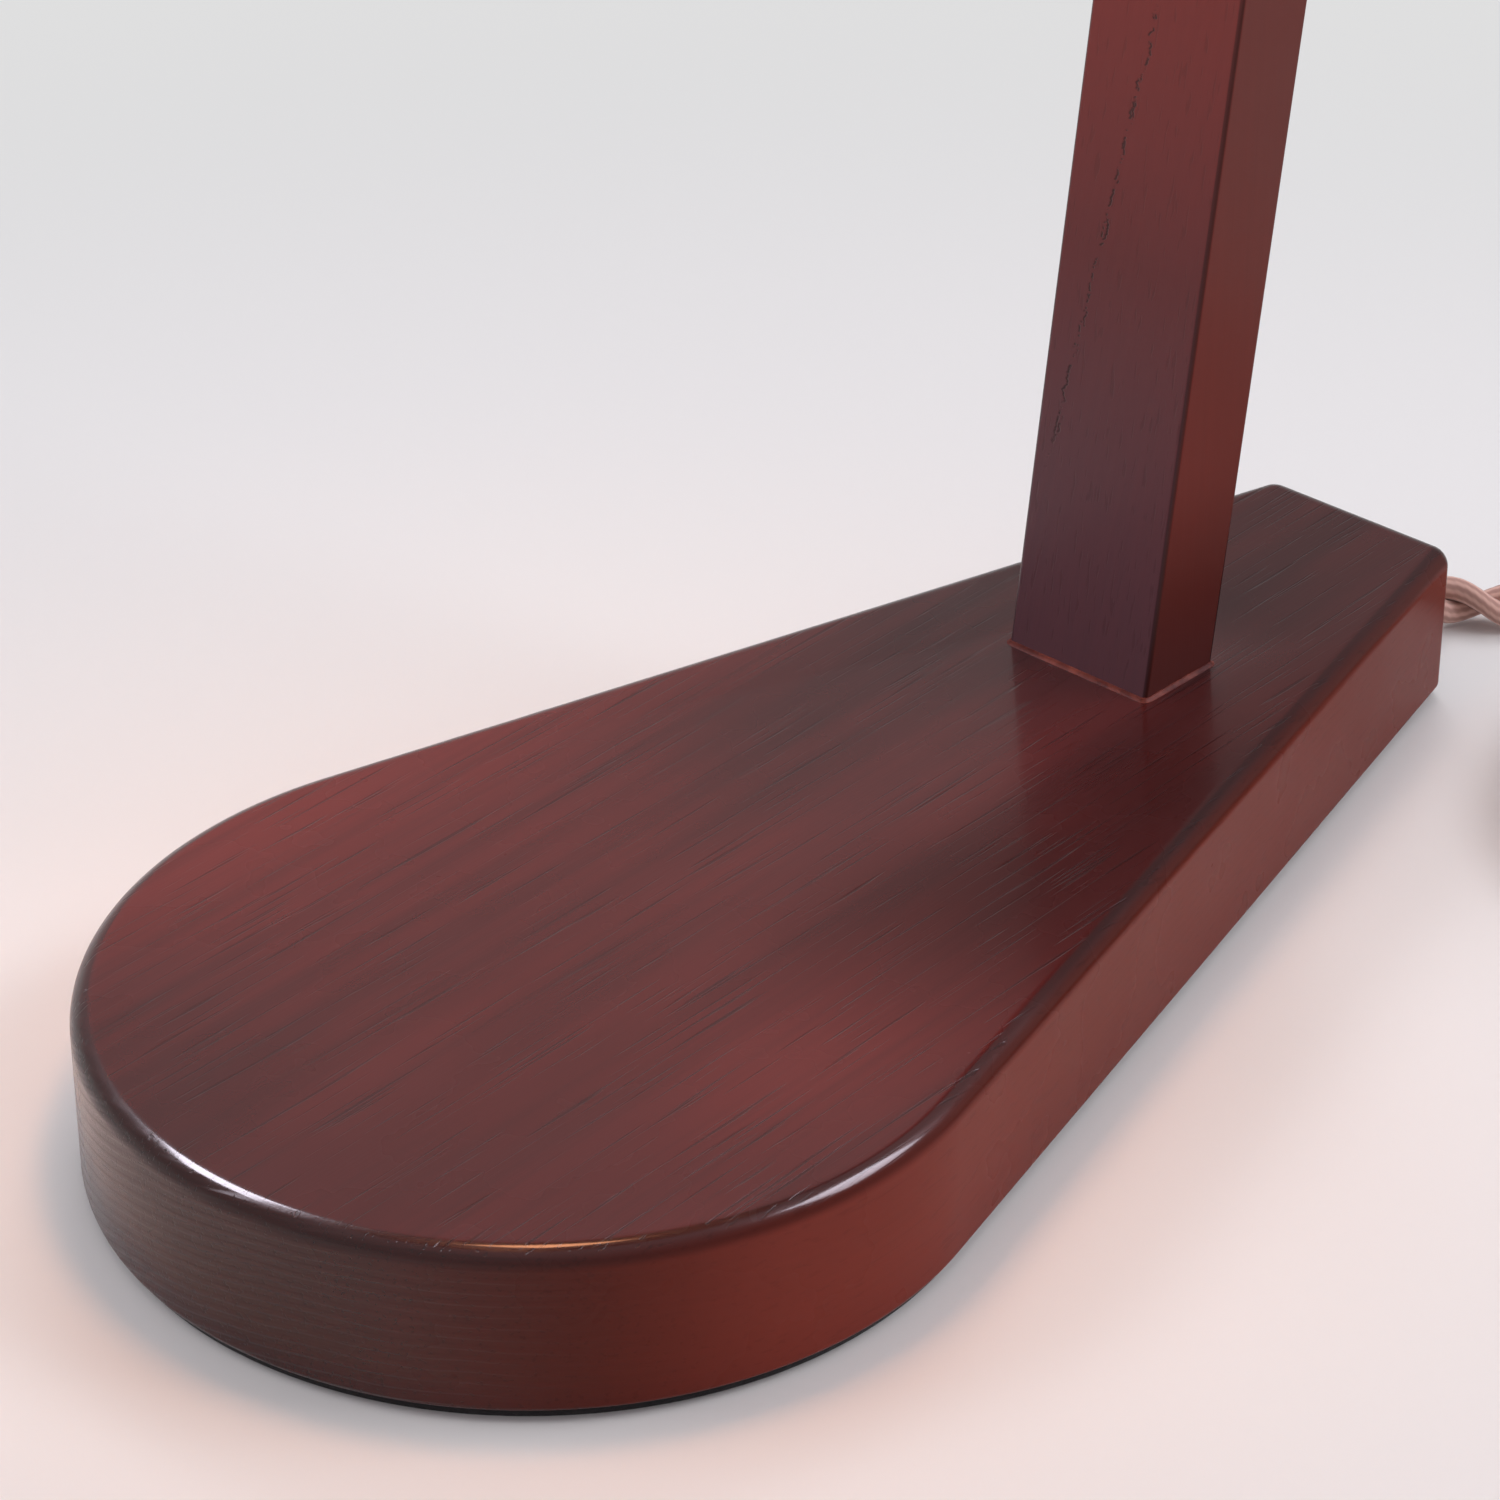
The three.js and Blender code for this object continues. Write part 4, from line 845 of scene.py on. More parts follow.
class Finishes:
    """All the finishes of the lamp, made once."""

    def __init__(self) -> None:
        """Makes each material."""
        brass = (srgb(192, 162, 106), srgb(124, 98, 62))
        wire = (srgb(212, 188, 140), srgb(164, 138, 96))
        steel = (srgb(190, 192, 196), srgb(132, 134, 138))
        self.board = LacqueredWood(Grain.BOARD, side=srgb(141, 63, 51)).material()
        self.stem = LacqueredWood(
            Grain.STEM, (0.0, 0.05, 0.2), crack=True, gloss=0.26, open_pores=0.3, coat=0.5
        ).material()
        self.stem_plain = LacqueredWood(Grain.STEM, (0.0, 0.02, 0.12), gloss=0.26).material()
        self.arm = LacqueredWood(Grain.ARM, (0.0, -0.04, -0.35), gloss=0.2).material()
        plain = {"middle": srgb(112, 56, 46), "red": srgb(134, 70, 56)}
        self.dowel = LacqueredWood(Grain.STEM, (0, 0.01, 0), **plain).material()
        self.glue = Glue().material()
        self.felt = Fibrous("felt", srgb(44, 40, 42), srgb(18, 16, 18)).material()
        self.fibre = Fibrous("fibre", srgb(118, 96, 74), srgb(74, 58, 44), sheen=0.05).material()
        self.brass = Metal("brass", *brass, roughness=0.26).material()
        self.turned_brass = Metal("brass_drawn", *brass, roughness=0.3, marks=(3200, 60, 60)).material()
        self.wire = Metal("plated_wire", *wire, roughness=0.32, tarnish_scale=200).material()
        self.steel = Metal("steel", *steel, roughness=0.34).material()
        self.iron = Metal("cast_iron", srgb(92, 92, 96), srgb(58, 58, 62), roughness=0.55).material()
        self.rubber = Moulded("rubber", srgb(44, 42, 42), srgb(24, 23, 23), 0.62).material()
        self.bakelite = Moulded("bakelite", srgb(58, 30, 22), srgb(34, 18, 14), 0.24, coat=0.4).material()
        glaze = (srgb(240, 234, 222), srgb(226, 218, 202))
        self.porcelain = Moulded("porcelain", *glaze, 0.16, coat=0.6).material()
        self.linen = Linen().material()
        trim = (srgb(222, 209, 186), srgb(178, 162, 136))
        self.linen_trim = Linen("linen_trim", *trim, (760.0, 14.0)).material()
        self.cotton = BraidedCotton().material()
        self.webbing = Webbing().material()
        self.opal = OpalGlass().material()


# Sub-assemblies


@dataclass(frozen=True)
class Layout:
    """Sizes that several sub-assemblies share, and the places that follow from them."""

    back_reach: float = 174.0
    board_bottom: float = 1.5
    board_top: float = 25.0
    stem_width: float = 25.0
    stem_depth: float = 15.0
    stem_length: float = 375.0
    lean: float = radians(7.9)
    foot_reach: float = 114.2
    pivot_depth: float = 22.0
    arm_thickness: float = 15.0
    edge_radius: float = 0.8
    groove_half: float = 4.15
    strip_thickness: float = 3.0
    bush_height: float = 6.6
    groove_floor: float = 0.1  # of the stem's groove, from its axis
    tenon: Sizes = (10.2, 5.2, 14.0)  # half its width, half its depth and its length
    hub_thickness: float = 1.8

    @property
    def leaning(self) -> Matrix:
        """From the stem's axes, with its foot at the origin and its length along +Z, to the frame's."""
        return Matrix.Translation((0, self.foot_reach, self.board_top)) @ Matrix.Rotation(-self.lean, 4, "X")

    @property
    def pivot_along(self) -> float:
        """The tilt axis's distance from the stem's foot, along the stem."""
        return self.stem_length - self.pivot_depth

    @property
    def arm_reach(self) -> float:
        """From the stem's axis to the hanger's, along the arm."""
        return (self.foot_reach + sin(self.lean) * self.pivot_along) / cos(self.lean)

    @property
    def arm_bottom(self) -> float:
        """The arm's underside, along the stem."""
        return self.stem_length + SEAT_GAP

    @property
    def arm_top(self) -> float:
        """The arm's upper face, along the stem."""
        return self.arm_bottom + self.arm_thickness

    @property
    def hanger(self) -> Matrix:
        """From the hanger's axes, which lean with the stem, to the frame's."""
        return self.leaning @ Matrix.Translation((0, -self.arm_reach, 0))

    @property
    def head(self) -> Matrix:
        """From the head's axes, with the tilt axis at the origin, to the frame's."""
        up = self.arm_reach * sin(self.lean) + self.pivot_along * cos(self.lean)
        return Matrix.Translation((0, 0, self.board_top + up))


@dataclass
class SubAssembly:
    """A group of the lamp's pieces that are made and dressed together."""

    layout: Layout
    finishes: Finishes
    rides: Body = Body.STAND

    def place(self, piece: Piece, material: Material, slot: str, *nodes: str,
              body: Body | None = None) -> Piece:
        """Dresses a finished piece, lets it ride on a body and puts it in its nodes' stead.

        Args:
            piece: The piece.
            material: Its finish.
            slot: The record's slot of that finish; not used.
            nodes: The nodes that it replaces.
            body: The body that it rides on, where it isn't the group's own.

        Returns:
            The same piece.
        """
        piece.data.materials.clear()
        piece.data.materials.append(material)
        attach(piece, (body or self.rides).value)
        if nodes:
            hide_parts(*nodes)
        count = len(piece.data.polygons)
        LOG.info("made %s with %d faces, for %s", piece.name, count, ", ".join(nodes) or "detail")
        return piece

    def dress(self, material: Material, *nodes: str) -> None:
        """Gives nodes that stay as they are a finish.

        Args:
            material: The finish.
            nodes: The nodes' names.
        """
        for node in nodes:
            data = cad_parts[node].data
            data.materials.clear()
            data.materials.append(material)
            LOG.info("dressed %s in %s", node, material.name)


def arc(centre: Point, radius: float, start: float, end: float, steps: int) -> np.ndarray:
    """Gives points of an arc in the plane, its ends among them."""
    angles = np.linspace(start, end, steps + 1)
    return np.stack([centre[0] + radius * np.cos(angles), centre[1] + radius * np.sin(angles)], 1)


def rounded(low: Point, high: Point, corner: float, radius: float, steps: int = 6) -> np.ndarray:
    """Gives a box's plan, whose round corners have their centres so far inside it."""
    centres = [(high[0] - corner, high[1] - corner), (low[0] + corner, high[1] - corner),
               (low[0] + corner, low[1] + corner), (high[0] - corner, low[1] + corner)]
    return np.concatenate([arc(centre, radius, k * pi / 2, (k + 1) * pi / 2, steps)
                           for k, centre in enumerate(centres)])


def outward(plan: np.ndarray) -> np.ndarray:
    """Gives the unit vectors that point out of a closed plan at its points."""
    ahead = np.roll(plan, -1, 0) - np.roll(plan, 1, 0)
    return np.stack([ahead[:, 1], -ahead[:, 0]], 1) / np.linalg.norm(ahead, axis=1)[:, None]


@dataclass(frozen=True)
class Slab:
    """A flat piece of wood between two faces, with its edges rounded over."""

    low: float
    high: float
    low_round: float
    high_round: float
    steps: int = 10
    margin: float = 0.3  # of flat face inside the rounding

    def rings(self, outline: "Outline") -> list[np.ndarray]:
        """Gives the rings of points up the slab.

        Args:
            outline: The plan, which can be drawn in from its edge.

        Returns:
            Rings from the lower face to the upper one.
        """
        turns = [step / self.steps * pi / 2 for step in range(self.steps + 1)]
        under, over = self.low_round, self.high_round
        stations = [(under * (1 - sin(t)), self.low + under * (1 - cos(t))) for t in turns]
        stations += [(over * (1 - cos(t)), self.high - over * (1 - sin(t))) for t in turns]
        first, last = stations[0][0] + self.margin, stations[-1][0] + self.margin
        stations = [(first, self.low), *stations, (last, self.high)]
        return [np.column_stack([plan, np.full(len(plan), height)])
                for plan, height in ((outline.points(inset), height) for inset, height in stations)]


@dataclass(frozen=True)
class Outline:
    """A plan with a round front, straight sides and a flat back with rounded corners."""

    front_centre: float
    front_radius: float
    back: float
    back_width: float
    corner_radius: float
    front_steps: int = 160
    corner_steps: int = 12

    def points(self, inset: float) -> np.ndarray:
        """Gives the plan's points.

        Args:
            inset: How far the plan is drawn in from its edge.

        Returns:
            The points, against the clock.
        """
        length = self.back - self.front_centre
        far = hypot(length, self.back_width / 2)
        turn = atan2(length, self.back_width / 2) - acos(self.front_radius / far)
        y = length - self.corner_radius
        x = (self.front_radius - self.corner_radius - y * sin(turn)) / cos(turn)
        corner, front = self.corner_radius - inset, self.front_radius - inset
        y += self.front_centre
        return np.concatenate([
            arc((x, y), corner, turn, pi / 2, self.corner_steps),
            arc((-x, y), corner, pi / 2, pi - turn, self.corner_steps),
            arc((0, self.front_centre), front, pi - turn, 2 * pi + turn, self.front_steps),
        ])


@dataclass
class Base(SubAssembly):
    """The teardrop board with its felt, weight, bush and clamp."""

    outline: Outline = Outline(0.0, 60.0, 174.0, 33.4, 3.4)
    felt_inset: float = 1.4
    felt_thickness: float = 1.2
    felt_corner: float = 2.0
    top_round: float = 3.0
    bottom_round: float = 1.0
    channel_end: float = 15.0  # from the back face
    channel_room: float = 2.2  # above the cord's axis
    bush_bore: float = 3.95
    bush_skin: tuple[Point, ...] = ((5, -16), (5, 0.3), (5.6, 0.3), (5.6, 1.5), (5, 1.5), (4.4, 4))

    def build(self) -> None:
        """Makes the board, the felt, the bush and the glue line, and dresses what is inside."""
        layout, finishes = self.layout, self.finishes
        slab = Slab(layout.board_bottom, layout.board_top, self.bottom_round, self.top_round)
        board = skin("board", slab.rings(self.outline))
        wide, deep, down = (size + SEAT_GAP for size in layout.tenon)
        half = layout.groove_half
        end = (half, layout.back_reach - self.channel_end, layout.bush_height + self.channel_room)
        channel = box("channel", (-half, layout.foot_reach, 0), end)
        far = layout.stem_depth / 2 - 1
        rise = box("rise", (-half, layout.groove_floor, -20), (half, far, 20), layout.leaning)
        held = ["base_weight", "weight_screw_1", "weight_screw_2", "weight_screw_3", "cord_bush",
                "cord_clamp", "clamp_screw_left", "clamp_screw_right", "stem_screw_left", "stem_screw_right"]
        mortise = box("mortise", (-wide, -deep, -down), (wide, deep, 20), layout.leaning)
        combined(board, [*(hull_of(node) for node in held), channel, rise, mortise])
        self.place(board, finishes.board, "lacquered_wood", "base_board")

        plan, inset = self.outline, self.felt_inset
        felt = Outline(0.0, plan.front_radius - inset, plan.back - inset, plan.back_width - 2 * inset,
                       self.felt_corner)
        pad = Slab(0, self.felt_thickness, 0.15, 0.35, 3).rings(felt)
        self.place(skin("felt_pad", pad), finishes.felt, "felt", "base_felt")

        start, tip = (self.bush_bore, self.bush_skin[0][1]), (self.bush_bore, self.bush_skin[-1][1])
        lying = Matrix.Rotation(-pi / 2, 4, "X")
        seat = Matrix.Translation((0, layout.back_reach, layout.bush_height)) @ lying
        bush = turned("bush", bent([start, *self.bush_skin, tip, start], 0.3, 3), seat, 72)
        self.place(bush, finishes.rubber, "rubber", "cord_bush")
        self.glue_line()
        self.dress(finishes.iron, "base_weight")
        self.dress(finishes.steel, "weight_screw_1", "weight_screw_2", "weight_screw_3", "clamp_screw_left",
                   "clamp_screw_right", "stem_screw_left", "stem_screw_right")
        self.dress(finishes.brass, "cord_clamp")
        self.dress(finishes.cotton, "inner_strand_left", "inner_strand_right")

    def glue_line(self) -> None:
        """Makes the thin bead of glue and lacquer round the stem's foot."""
        layout = self.layout
        half_x, half_y = layout.stem_width / 2, layout.stem_depth / 2 / cos(layout.lean)
        foot, corner = layout.foot_reach, layout.edge_radius
        line = rounded((-half_x, foot - half_y), (half_x, foot + half_y), corner, corner)
        edges = np.roll(line, -1, 0) - line
        shares = np.linspace(0, 1, 24, endpoint=False)[:, None]
        dense = np.concatenate([point + edge * shares if np.linalg.norm(edge) > 2 else point[None]
                                for point, edge in zip(line, edges)])
        out = outward(dense)
        random = np.random.default_rng(7)
        swell = 0.55 + 0.16 * np.convolve(random.random(len(dense) + 4), np.ones(5) / 5, "valid")
        section = [(-0.6, 0.02), (1.0, 0.02), (0.55, 0.28), (0.2, 0.75), (-0.6, 0.95)]
        rings = []
        for reach, up in section:
            plan = dense + out * (reach * swell)[:, None]
            rings.append(np.column_stack([plan, layout.board_top + up * swell]))
        self.place(skin("glue_line", rings, loop=True), self.finishes.glue, "lacquered_wood")


class Stem(SubAssembly):
    """The square stem, with its cover strip."""

    def section(self, inset: float) -> np.ndarray:
        """Gives the stem's cross-section, drawn in from its edge."""
        x, y, radius = self.layout.stem_width / 2, self.layout.stem_depth / 2, self.layout.edge_radius
        return rounded((-x, -y), (x, y), radius, radius - inset)

    def build(self) -> None:
        """Makes the stem with its tenon, groove and holes, and the cover strip."""
        layout, finishes = self.layout, self.finishes
        heights = [-layout.stem_depth, *np.linspace(-4, layout.stem_length - 0.3, 12), layout.stem_length]
        plans = [self.section(0.3 if z == layout.stem_length else 0) for z in heights]
        rings = [np.column_stack([plan, np.full(len(plan), z)]) for plan, z in zip(plans, heights)]
        shaft = skin("stem_wood", rings, layout.leaning, sharp=50)
        side = 2 * layout.stem_width
        foot = Matrix.Translation((0, layout.foot_reach, 0))
        under = box("under", (-side, -side, -side), (side, side, layout.board_top + SEAT_GAP), foot)
        combined(shaft, [under], sharp=50)
        wide, deep, down = layout.tenon
        combined(shaft, [box("tenon", (-wide, -deep, -down), (wide, deep, 5), layout.leaning)], "UNION", 50)
        half = layout.stem_depth / 2
        groove = box("groove", (-layout.groove_half, layout.groove_floor, -20),
                     (layout.groove_half, half + 2, layout.stem_length + 2), layout.leaning)
        held = ("stem_screw_left", "stem_screw_right", "elbow_dowel_left", "elbow_dowel_right")
        combined(shaft, [groove, *(hull_of(node) for node in held)], sharp=50)
        self.place(shaft, finishes.stem, "lacquered_wood", "stem")

        edge = layout.groove_half - SEAT_GAP
        low = (-edge, half - layout.strip_thickness, half * tan(layout.lean) + 2 * SEAT_GAP)
        strip = box("stem_strip", low, (edge, half, layout.stem_length), layout.leaning)
        self.place(eased(strip, 0.25), finishes.stem_plain, "lacquered_wood", "stem_cover_strip")


def eased(piece: Piece, radius: float, segments: int = 3) -> Piece:
    """Rounds a piece's crisp edges.

    Args:
        piece: The piece.
        radius: The rounding, in millimetres.
        segments: The facets across it.

    Returns:
        The same piece.
    """
    step = piece.modifiers.new("eased", "BEVEL")
    step.width, step.segments = radius * MM, segments
    step.limit_method, step.angle_limit = "ANGLE", radians(40)
    settle(piece)
    tidy(piece.data, 50)
    return piece


@dataclass
class Arm(SubAssembly):
    """The arm that reaches forward from the stem, with its cover strip and its dowels."""

    dowel_radius: float = 2.5
    dowel_depth: float = 22.0
    dowel_spacing: float = 16.8
    collar_radius: float = 12.0

    def build(self) -> None:
        """Makes the arm, the strip under it and the two dowels."""
        layout, finishes = self.layout, self.finishes
        half = layout.stem_depth / 2
        plan = Outline(-layout.arm_reach, layout.stem_width / 2, half, layout.stem_width, 1.6, 48, 6)
        slab = Slab(layout.arm_bottom, layout.arm_top, layout.edge_radius, layout.edge_radius, 6)
        arm = skin("arm_wood", slab.rings(plan), layout.leaning, sharp=50)
        front = self.collar_radius + SEAT_GAP - layout.arm_reach
        groove = box("arm_groove", (-layout.groove_half, front - SEAT_GAP, layout.arm_bottom - 2),
                     (layout.groove_half, 4.6, layout.arm_bottom + layout.strip_thickness + 4.4),
                     layout.leaning)
        held = ("hanger_nipple", "elbow_dowel_left", "elbow_dowel_right")
        combined(arm, [groove, *(hull_of(node) for node in held)], sharp=50)
        self.place(arm, finishes.arm, "lacquered_wood", "arm")

        edge = layout.groove_half - SEAT_GAP
        strip = box("arm_strip", (-edge, front, layout.arm_bottom),
                    (edge, -half - SEAT_GAP, layout.arm_bottom + layout.strip_thickness), layout.leaning)
        self.place(eased(strip, 0.25), finishes.arm, "lacquered_wood", "arm_cover_strip")
        for side, name in ((-1, "left"), (1, "right")):
            low, top = layout.stem_length - self.dowel_depth, layout.arm_top
            profile = bent(sleeve(0, self.dowel_radius, low, top), 0.25, 3)
            centre = layout.leaning @ Matrix.Translation((side * self.dowel_spacing / 2, 0, 0))
            dowel = turned(f"dowel_{name}", profile, centre, 48)
            self.place(dowel, finishes.dowel, "wood_dowel", f"elbow_dowel_{name}")


@dataclass
class Hanger(SubAssembly):
    """The brass fittings on the arm's end, and the knuckle that the head tilts on."""

    bore: float = 5.3
    collar: Sizes = (8.2, 12.0, 4.0)  # the neck's radius, the flange's and the height
    washer: Sizes = (11.0, 1.2)
    cap_nut: Sizes = (8.5, 9.0, 2.4)  # radius, height and wall
    ear: Sizes = (8.0, 5.8)  # radius and thickness
    body: Sizes = (7.4, 8.8, 16.3)  # radius, and its two ends from the tilt axis
    stub: Sizes = (4.8, 6.0)
    screw: Sizes = (2.2, 4.4, 2.6)  # the shank's radius, the head's and its height
    thumb_nut: Sizes = (7.0, 5.0, 0.6)  # radius, thickness and the flutes' depth
    flutes: int = 12

    def build(self) -> None:
        """Makes the washer, the cap nut, the collar and the knuckle, and dresses the nipple."""
        layout, brass = self.layout, self.finishes.brass
        hanger, bore = layout.hanger, self.bore
        self.dress(brass, "hanger_nipple")
        top = layout.arm_top + SEAT_GAP
        radius, thickness = self.washer
        washer = bent(sleeve(bore, radius, top, top + thickness), 0.4)
        self.place(turned("washer", washer, hanger), brass, "brass", "hanger_washer")

        low = top + thickness + SEAT_GAP
        radius, height, wall = self.cap_nut
        high, waist = low + height, radius - wall / 2
        dome = [(waist * cos(t), low + wall + (height - wall) * sin(t))
                for t in np.linspace(0, pi / 2, 18)]
        nut = bent([(bore, low), (radius, low), (radius, low + wall), (waist, low + wall)], 0.4)[:-1]
        inside = [(0, high - wall), (bore, high - wall), (bore, low)]
        self.place(turned("cap_nut", [*nut, *dome, *inside], hanger), brass, "brass", "hanger_cap_nut")

        neck, flange, height = self.collar
        high = layout.arm_bottom - SEAT_GAP
        low = high - height
        profile = [(bore, low), (neck, low), (neck + 1.4, low + 0.9), (flange, high - height / 2),
                   (flange, high), (bore, high), (bore, low)]
        self.place(turned("collar", bent(profile, 0.5), hanger), brass, "brass", "hanger_collar")
        self.knuckle(low - SEAT_GAP - layout.pivot_along)

    def half(self, name: str, side: int, up: int, reach: float, placement: Matrix) -> Piece:
        """Makes half of the knuckle: an ear beside the tilt axis and the round body that carries it.

        Args:
            name: The piece's name.
            side: 1 for the ear at +X, -1 for the one at -X.
            up: 1 where the body is above the axis, -1 below.
            reach: How far the body goes from the axis.
            placement: From the knuckle's axes to the frame's.

        Returns:
            The half, in one closed body.
        """
        radius, thickness = self.ear
        near, far = SEAT_GAP / 2, SEAT_GAP / 2 + thickness
        low, high = (near, far) if side > 0 else (-far, -near)
        ear = turned(name, bent(sleeve(0, radius, low, high), 0.6), placement @ ACROSS)
        body_radius, start, _ = self.body
        neck = (0, start + SEAT_GAP) if up > 0 else (-start - SEAT_GAP, 0)
        flank = radius * 0.8
        block = box("neck", (low + 0.1, -flank, neck[0]), (high - 0.1, flank, neck[1]), placement)
        rod = bent(sleeve(0, body_radius, *sorted((up * start, up * reach))), 0.7)
        return combined(ear, [eased(block, 0.5), turned("round", rod, placement)], "UNION", 30)

    def knuckle(self, body_top: float) -> None:
        """Makes both halves, the clamping screw and the thumb nut.

        Args:
            body_top: The top of the upper half's body, from the tilt axis.
        """
        layout, brass = self.layout, self.finishes.brass
        upright = layout.hanger @ Matrix.Translation((0, 0, layout.pivot_along))
        shank, head, head_height = self.screw

        def bored(half: Piece, placement: Matrix, *more: Piece) -> Piece:
            """Bores a half for the clamping screw."""
            bore = turned("bore", sleeve(0, shank + SEAT_GAP, -12, 12), placement @ ACROSS, 40)
            return combined(half, [bore, *more], sharp=30)

        upper = self.half("knuckle_upper", -1, 1, body_top, upright)
        socket = turned("socket", sleeve(0, self.bore, self.body[2] - 4.05, body_top + 2), upright, 64)
        self.place(bored(upper, upright, socket), brass, "brass", "swivel_upper")

        lower = self.half("knuckle_lower", 1, -1, self.body[2], layout.head)
        radius, length = self.stub
        end = -self.body[2]
        stub = bent(sleeve(0, radius, end - length, end + 0.3), 0.4)
        combined(lower, [turned("stub", stub, layout.head, 64)], "UNION", 30)
        self.place(bored(lower, layout.head), brass, "brass", "swivel_lower", body=Body.HEAD)

        face = SEAT_GAP / 2 + self.ear[1] + SEAT_GAP
        end = face + self.thumb_nut[1] + SEAT_GAP
        top = -face - head_height
        profile = [(0, top), (head, top), (head, -face), (shank, -face), (shank, end), (0, end)]
        screw = turned("clamping_screw", bent(profile, 0.45), layout.head @ ACROSS, 64)
        slot = box("slot", (-0.5, -6, -face - 4), (0.5, 6, top + 1.1), layout.head @ ACROSS)
        self.place(combined(screw, [slot], sharp=30), brass, "brass", "tilt_screw")
        self.place(self.thumb(face), self.finishes.turned_brass, "brass", "tilt_thumb_nut")

    def thumb(self, face: float) -> Piece:
        """Makes the fluted thumb nut.

        Args:
            face: Its inner face's distance from the tilt axis.

        Returns:
            The nut.
        """
        radius, thickness, depth = self.thumb_nut
        sides = self.flutes * 12
        turns = np.arange(sides) * 2 * np.pi / sides
        edge = radius - depth / 2 * (1 - np.cos(turns * self.flutes))
        bore = self.screw[0] + SEAT_GAP
        stations = [(bore, 0), (0.9, 0), (1.0, 0.5), (1.0, thickness - 0.7), (0.9, thickness),
                    (0.66, thickness), (0.6, thickness - 0.35), (bore, thickness - 0.35)]
        rings = []
        for size, along in stations:
            reach = edge * size if size <= 1 else np.full(sides, size)
            plan = [reach * np.cos(turns), reach * np.sin(turns)]
            rings.append(np.stack([*plan, np.full(sides, face + along)], 1))
        return skin("thumb_nut", rings, self.layout.head @ ACROSS, True, 30)


# Patterns made by Geometry Nodes


class Pattern(Tree):
    """A Geometry Nodes tree with named inputs, which makes one plain mesh."""

    def __init__(self, name: str, **inputs: float | int | Sizes) -> None:
        """Makes the tree's inputs and outputs.

        Args:
            name: The tree's name.
            inputs: The named inputs and their values. Whole numbers are counts, rows of three are points.
        """
        super().__init__(bpy.data.node_groups.new(name, "GeometryNodeTree"))
        self.name, self.values = name, inputs
        interface = self.tree.interface
        interface.new_socket("Geometry", in_out="OUTPUT", socket_type="NodeSocketGeometry")
        self.identifiers: dict[str, str] = {}
        for key, value in inputs.items():
            kind = "Int" if isinstance(value, int) else "Float" if isinstance(value, float) else "Vector"
            made = interface.new_socket(key, in_out="INPUT", socket_type=f"NodeSocket{kind}")
            self.identifiers[key] = made.identifier
        made = interface.new_socket("material", in_out="INPUT", socket_type="NodeSocketMaterial")
        self.identifiers["material"] = made.identifier
        self.input = self.tree.nodes.new("NodeGroupInput")
        self.output = self.tree.nodes.new("NodeGroupOutput")
        self.shape: Socket | None = None

    def __getitem__(self, key: str) -> Socket:
        """Gives a named input's socket."""
        return self.input.outputs[key]

    def make(self, kind: str, inputs: dict | None = None, **properties: object) -> Socket:
        """Adds a geometry node and returns its first output."""
        return self.add(f"GeometryNode{kind}", inputs, **properties).outputs[0]

    def join(self, *parts: Socket) -> Socket:
        """Joins geometries.

        Args:
            parts: The geometries.

        Returns:
            The whole.
        """
        node = self.tree.nodes.new("GeometryNodeJoinGeometry")
        for part in parts:
            self.tree.links.new(part, node.inputs[0])
        return node.outputs[0]

    def point(self, x: float | Socket = 0.0, y: float | Socket = 0.0, z: float | Socket = 0.0) -> Socket:
        """Combines three numbers into a point and returns it."""
        return self.add("ShaderNodeCombineXYZ", {0: x, 1: y, 2: z}).outputs[0]

    def spread(self, points: Socket, instance: Socket, **more: Socket) -> Socket:
        """Puts an instance on each point and returns the instances."""
        return self.make("InstanceOnPoints", {"Points": points, "Instance": instance, **more})

    def made(self, material: Material, placement: Matrix, sharp: float = 32.0, wall: float = 0.0) -> Piece:
        """Ends the tree with its shape in millimetres, evaluates it and keeps the plain mesh.

        Args:
            material: The finish that the tree sets.
            placement: From the pattern's axes to the frame's, in millimetres.
            sharp: The angle past which an edge stays crisp.
            wall: The thickness given inwards to an open sheet, or zero for none.

        Returns:
            The object, with its place in its mesh.
        """
        real = self.make("RealizeInstances", {0: self.shape})
        dressed = self.make("SetMaterial", {"Geometry": real, "Material": self["material"]})
        self.tree.links.new(dressed, self.output.inputs[0])
        piece = as_object(self.name, bpy.data.meshes.new(self.name))
        step = piece.modifiers.new("pattern", "NODES")
        step.node_group = self.tree
        for key, value in self.values.items():
            step[self.identifiers[key]] = value
        step[self.identifiers["material"]] = material
        piece.update_tag()
        bpy.context.view_layer.update()
        settle(piece)
        piece.data.transform(Matrix.Scale(MM, 4) @ placement)
        tidy(piece.data, sharp)
        if wall:
            shell = piece.modifiers.new("wall", "SOLIDIFY")
            shell.thickness, shell.offset, shell.use_even_offset = wall * MM, -1, True
            settle(piece)
            tidy(piece.data, sharp)
        return piece


def bead_chain(radius: float, link: float, pitch: float, count: int) -> Pattern:
    """Starts a chain of beads and short links that hangs down from the origin.

    Args:
        radius: A bead's radius.
        link: The wire's radius between two beads.
        pitch: From one bead to the next.
        count: The number of beads.

    Returns:
        The pattern.
    """
    tree = Pattern("bead_chain", bead_radius=radius, link_radius=link, pitch=pitch, beads=count)
    step = tree.point(z=tree.times(tree["pitch"], -1.0))
    first = tree.point(z=tree.times(tree["pitch"], -0.5))
    line = {"Count": tree["beads"], "Start Location": first, "Offset": step}
    beads = tree.make("MeshLine", line, mode="OFFSET")
    ball = tree.make("MeshUVSphere", {"Segments": 16, "Rings": 10, "Radius": tree["bead_radius"]})
    wires = tree.make("MeshLine", {**line, "Start Location": tree.point()}, mode="OFFSET")
    size = {"Radius": tree["link_radius"], "Depth": tree.times(tree["pitch"], 0.5)}
    rod = tree.make("MeshCylinder", {"Vertices": 8, **size})
    tree.shape = tree.join(tree.spread(beads, ball), tree.spread(wires, rod))
    return tree


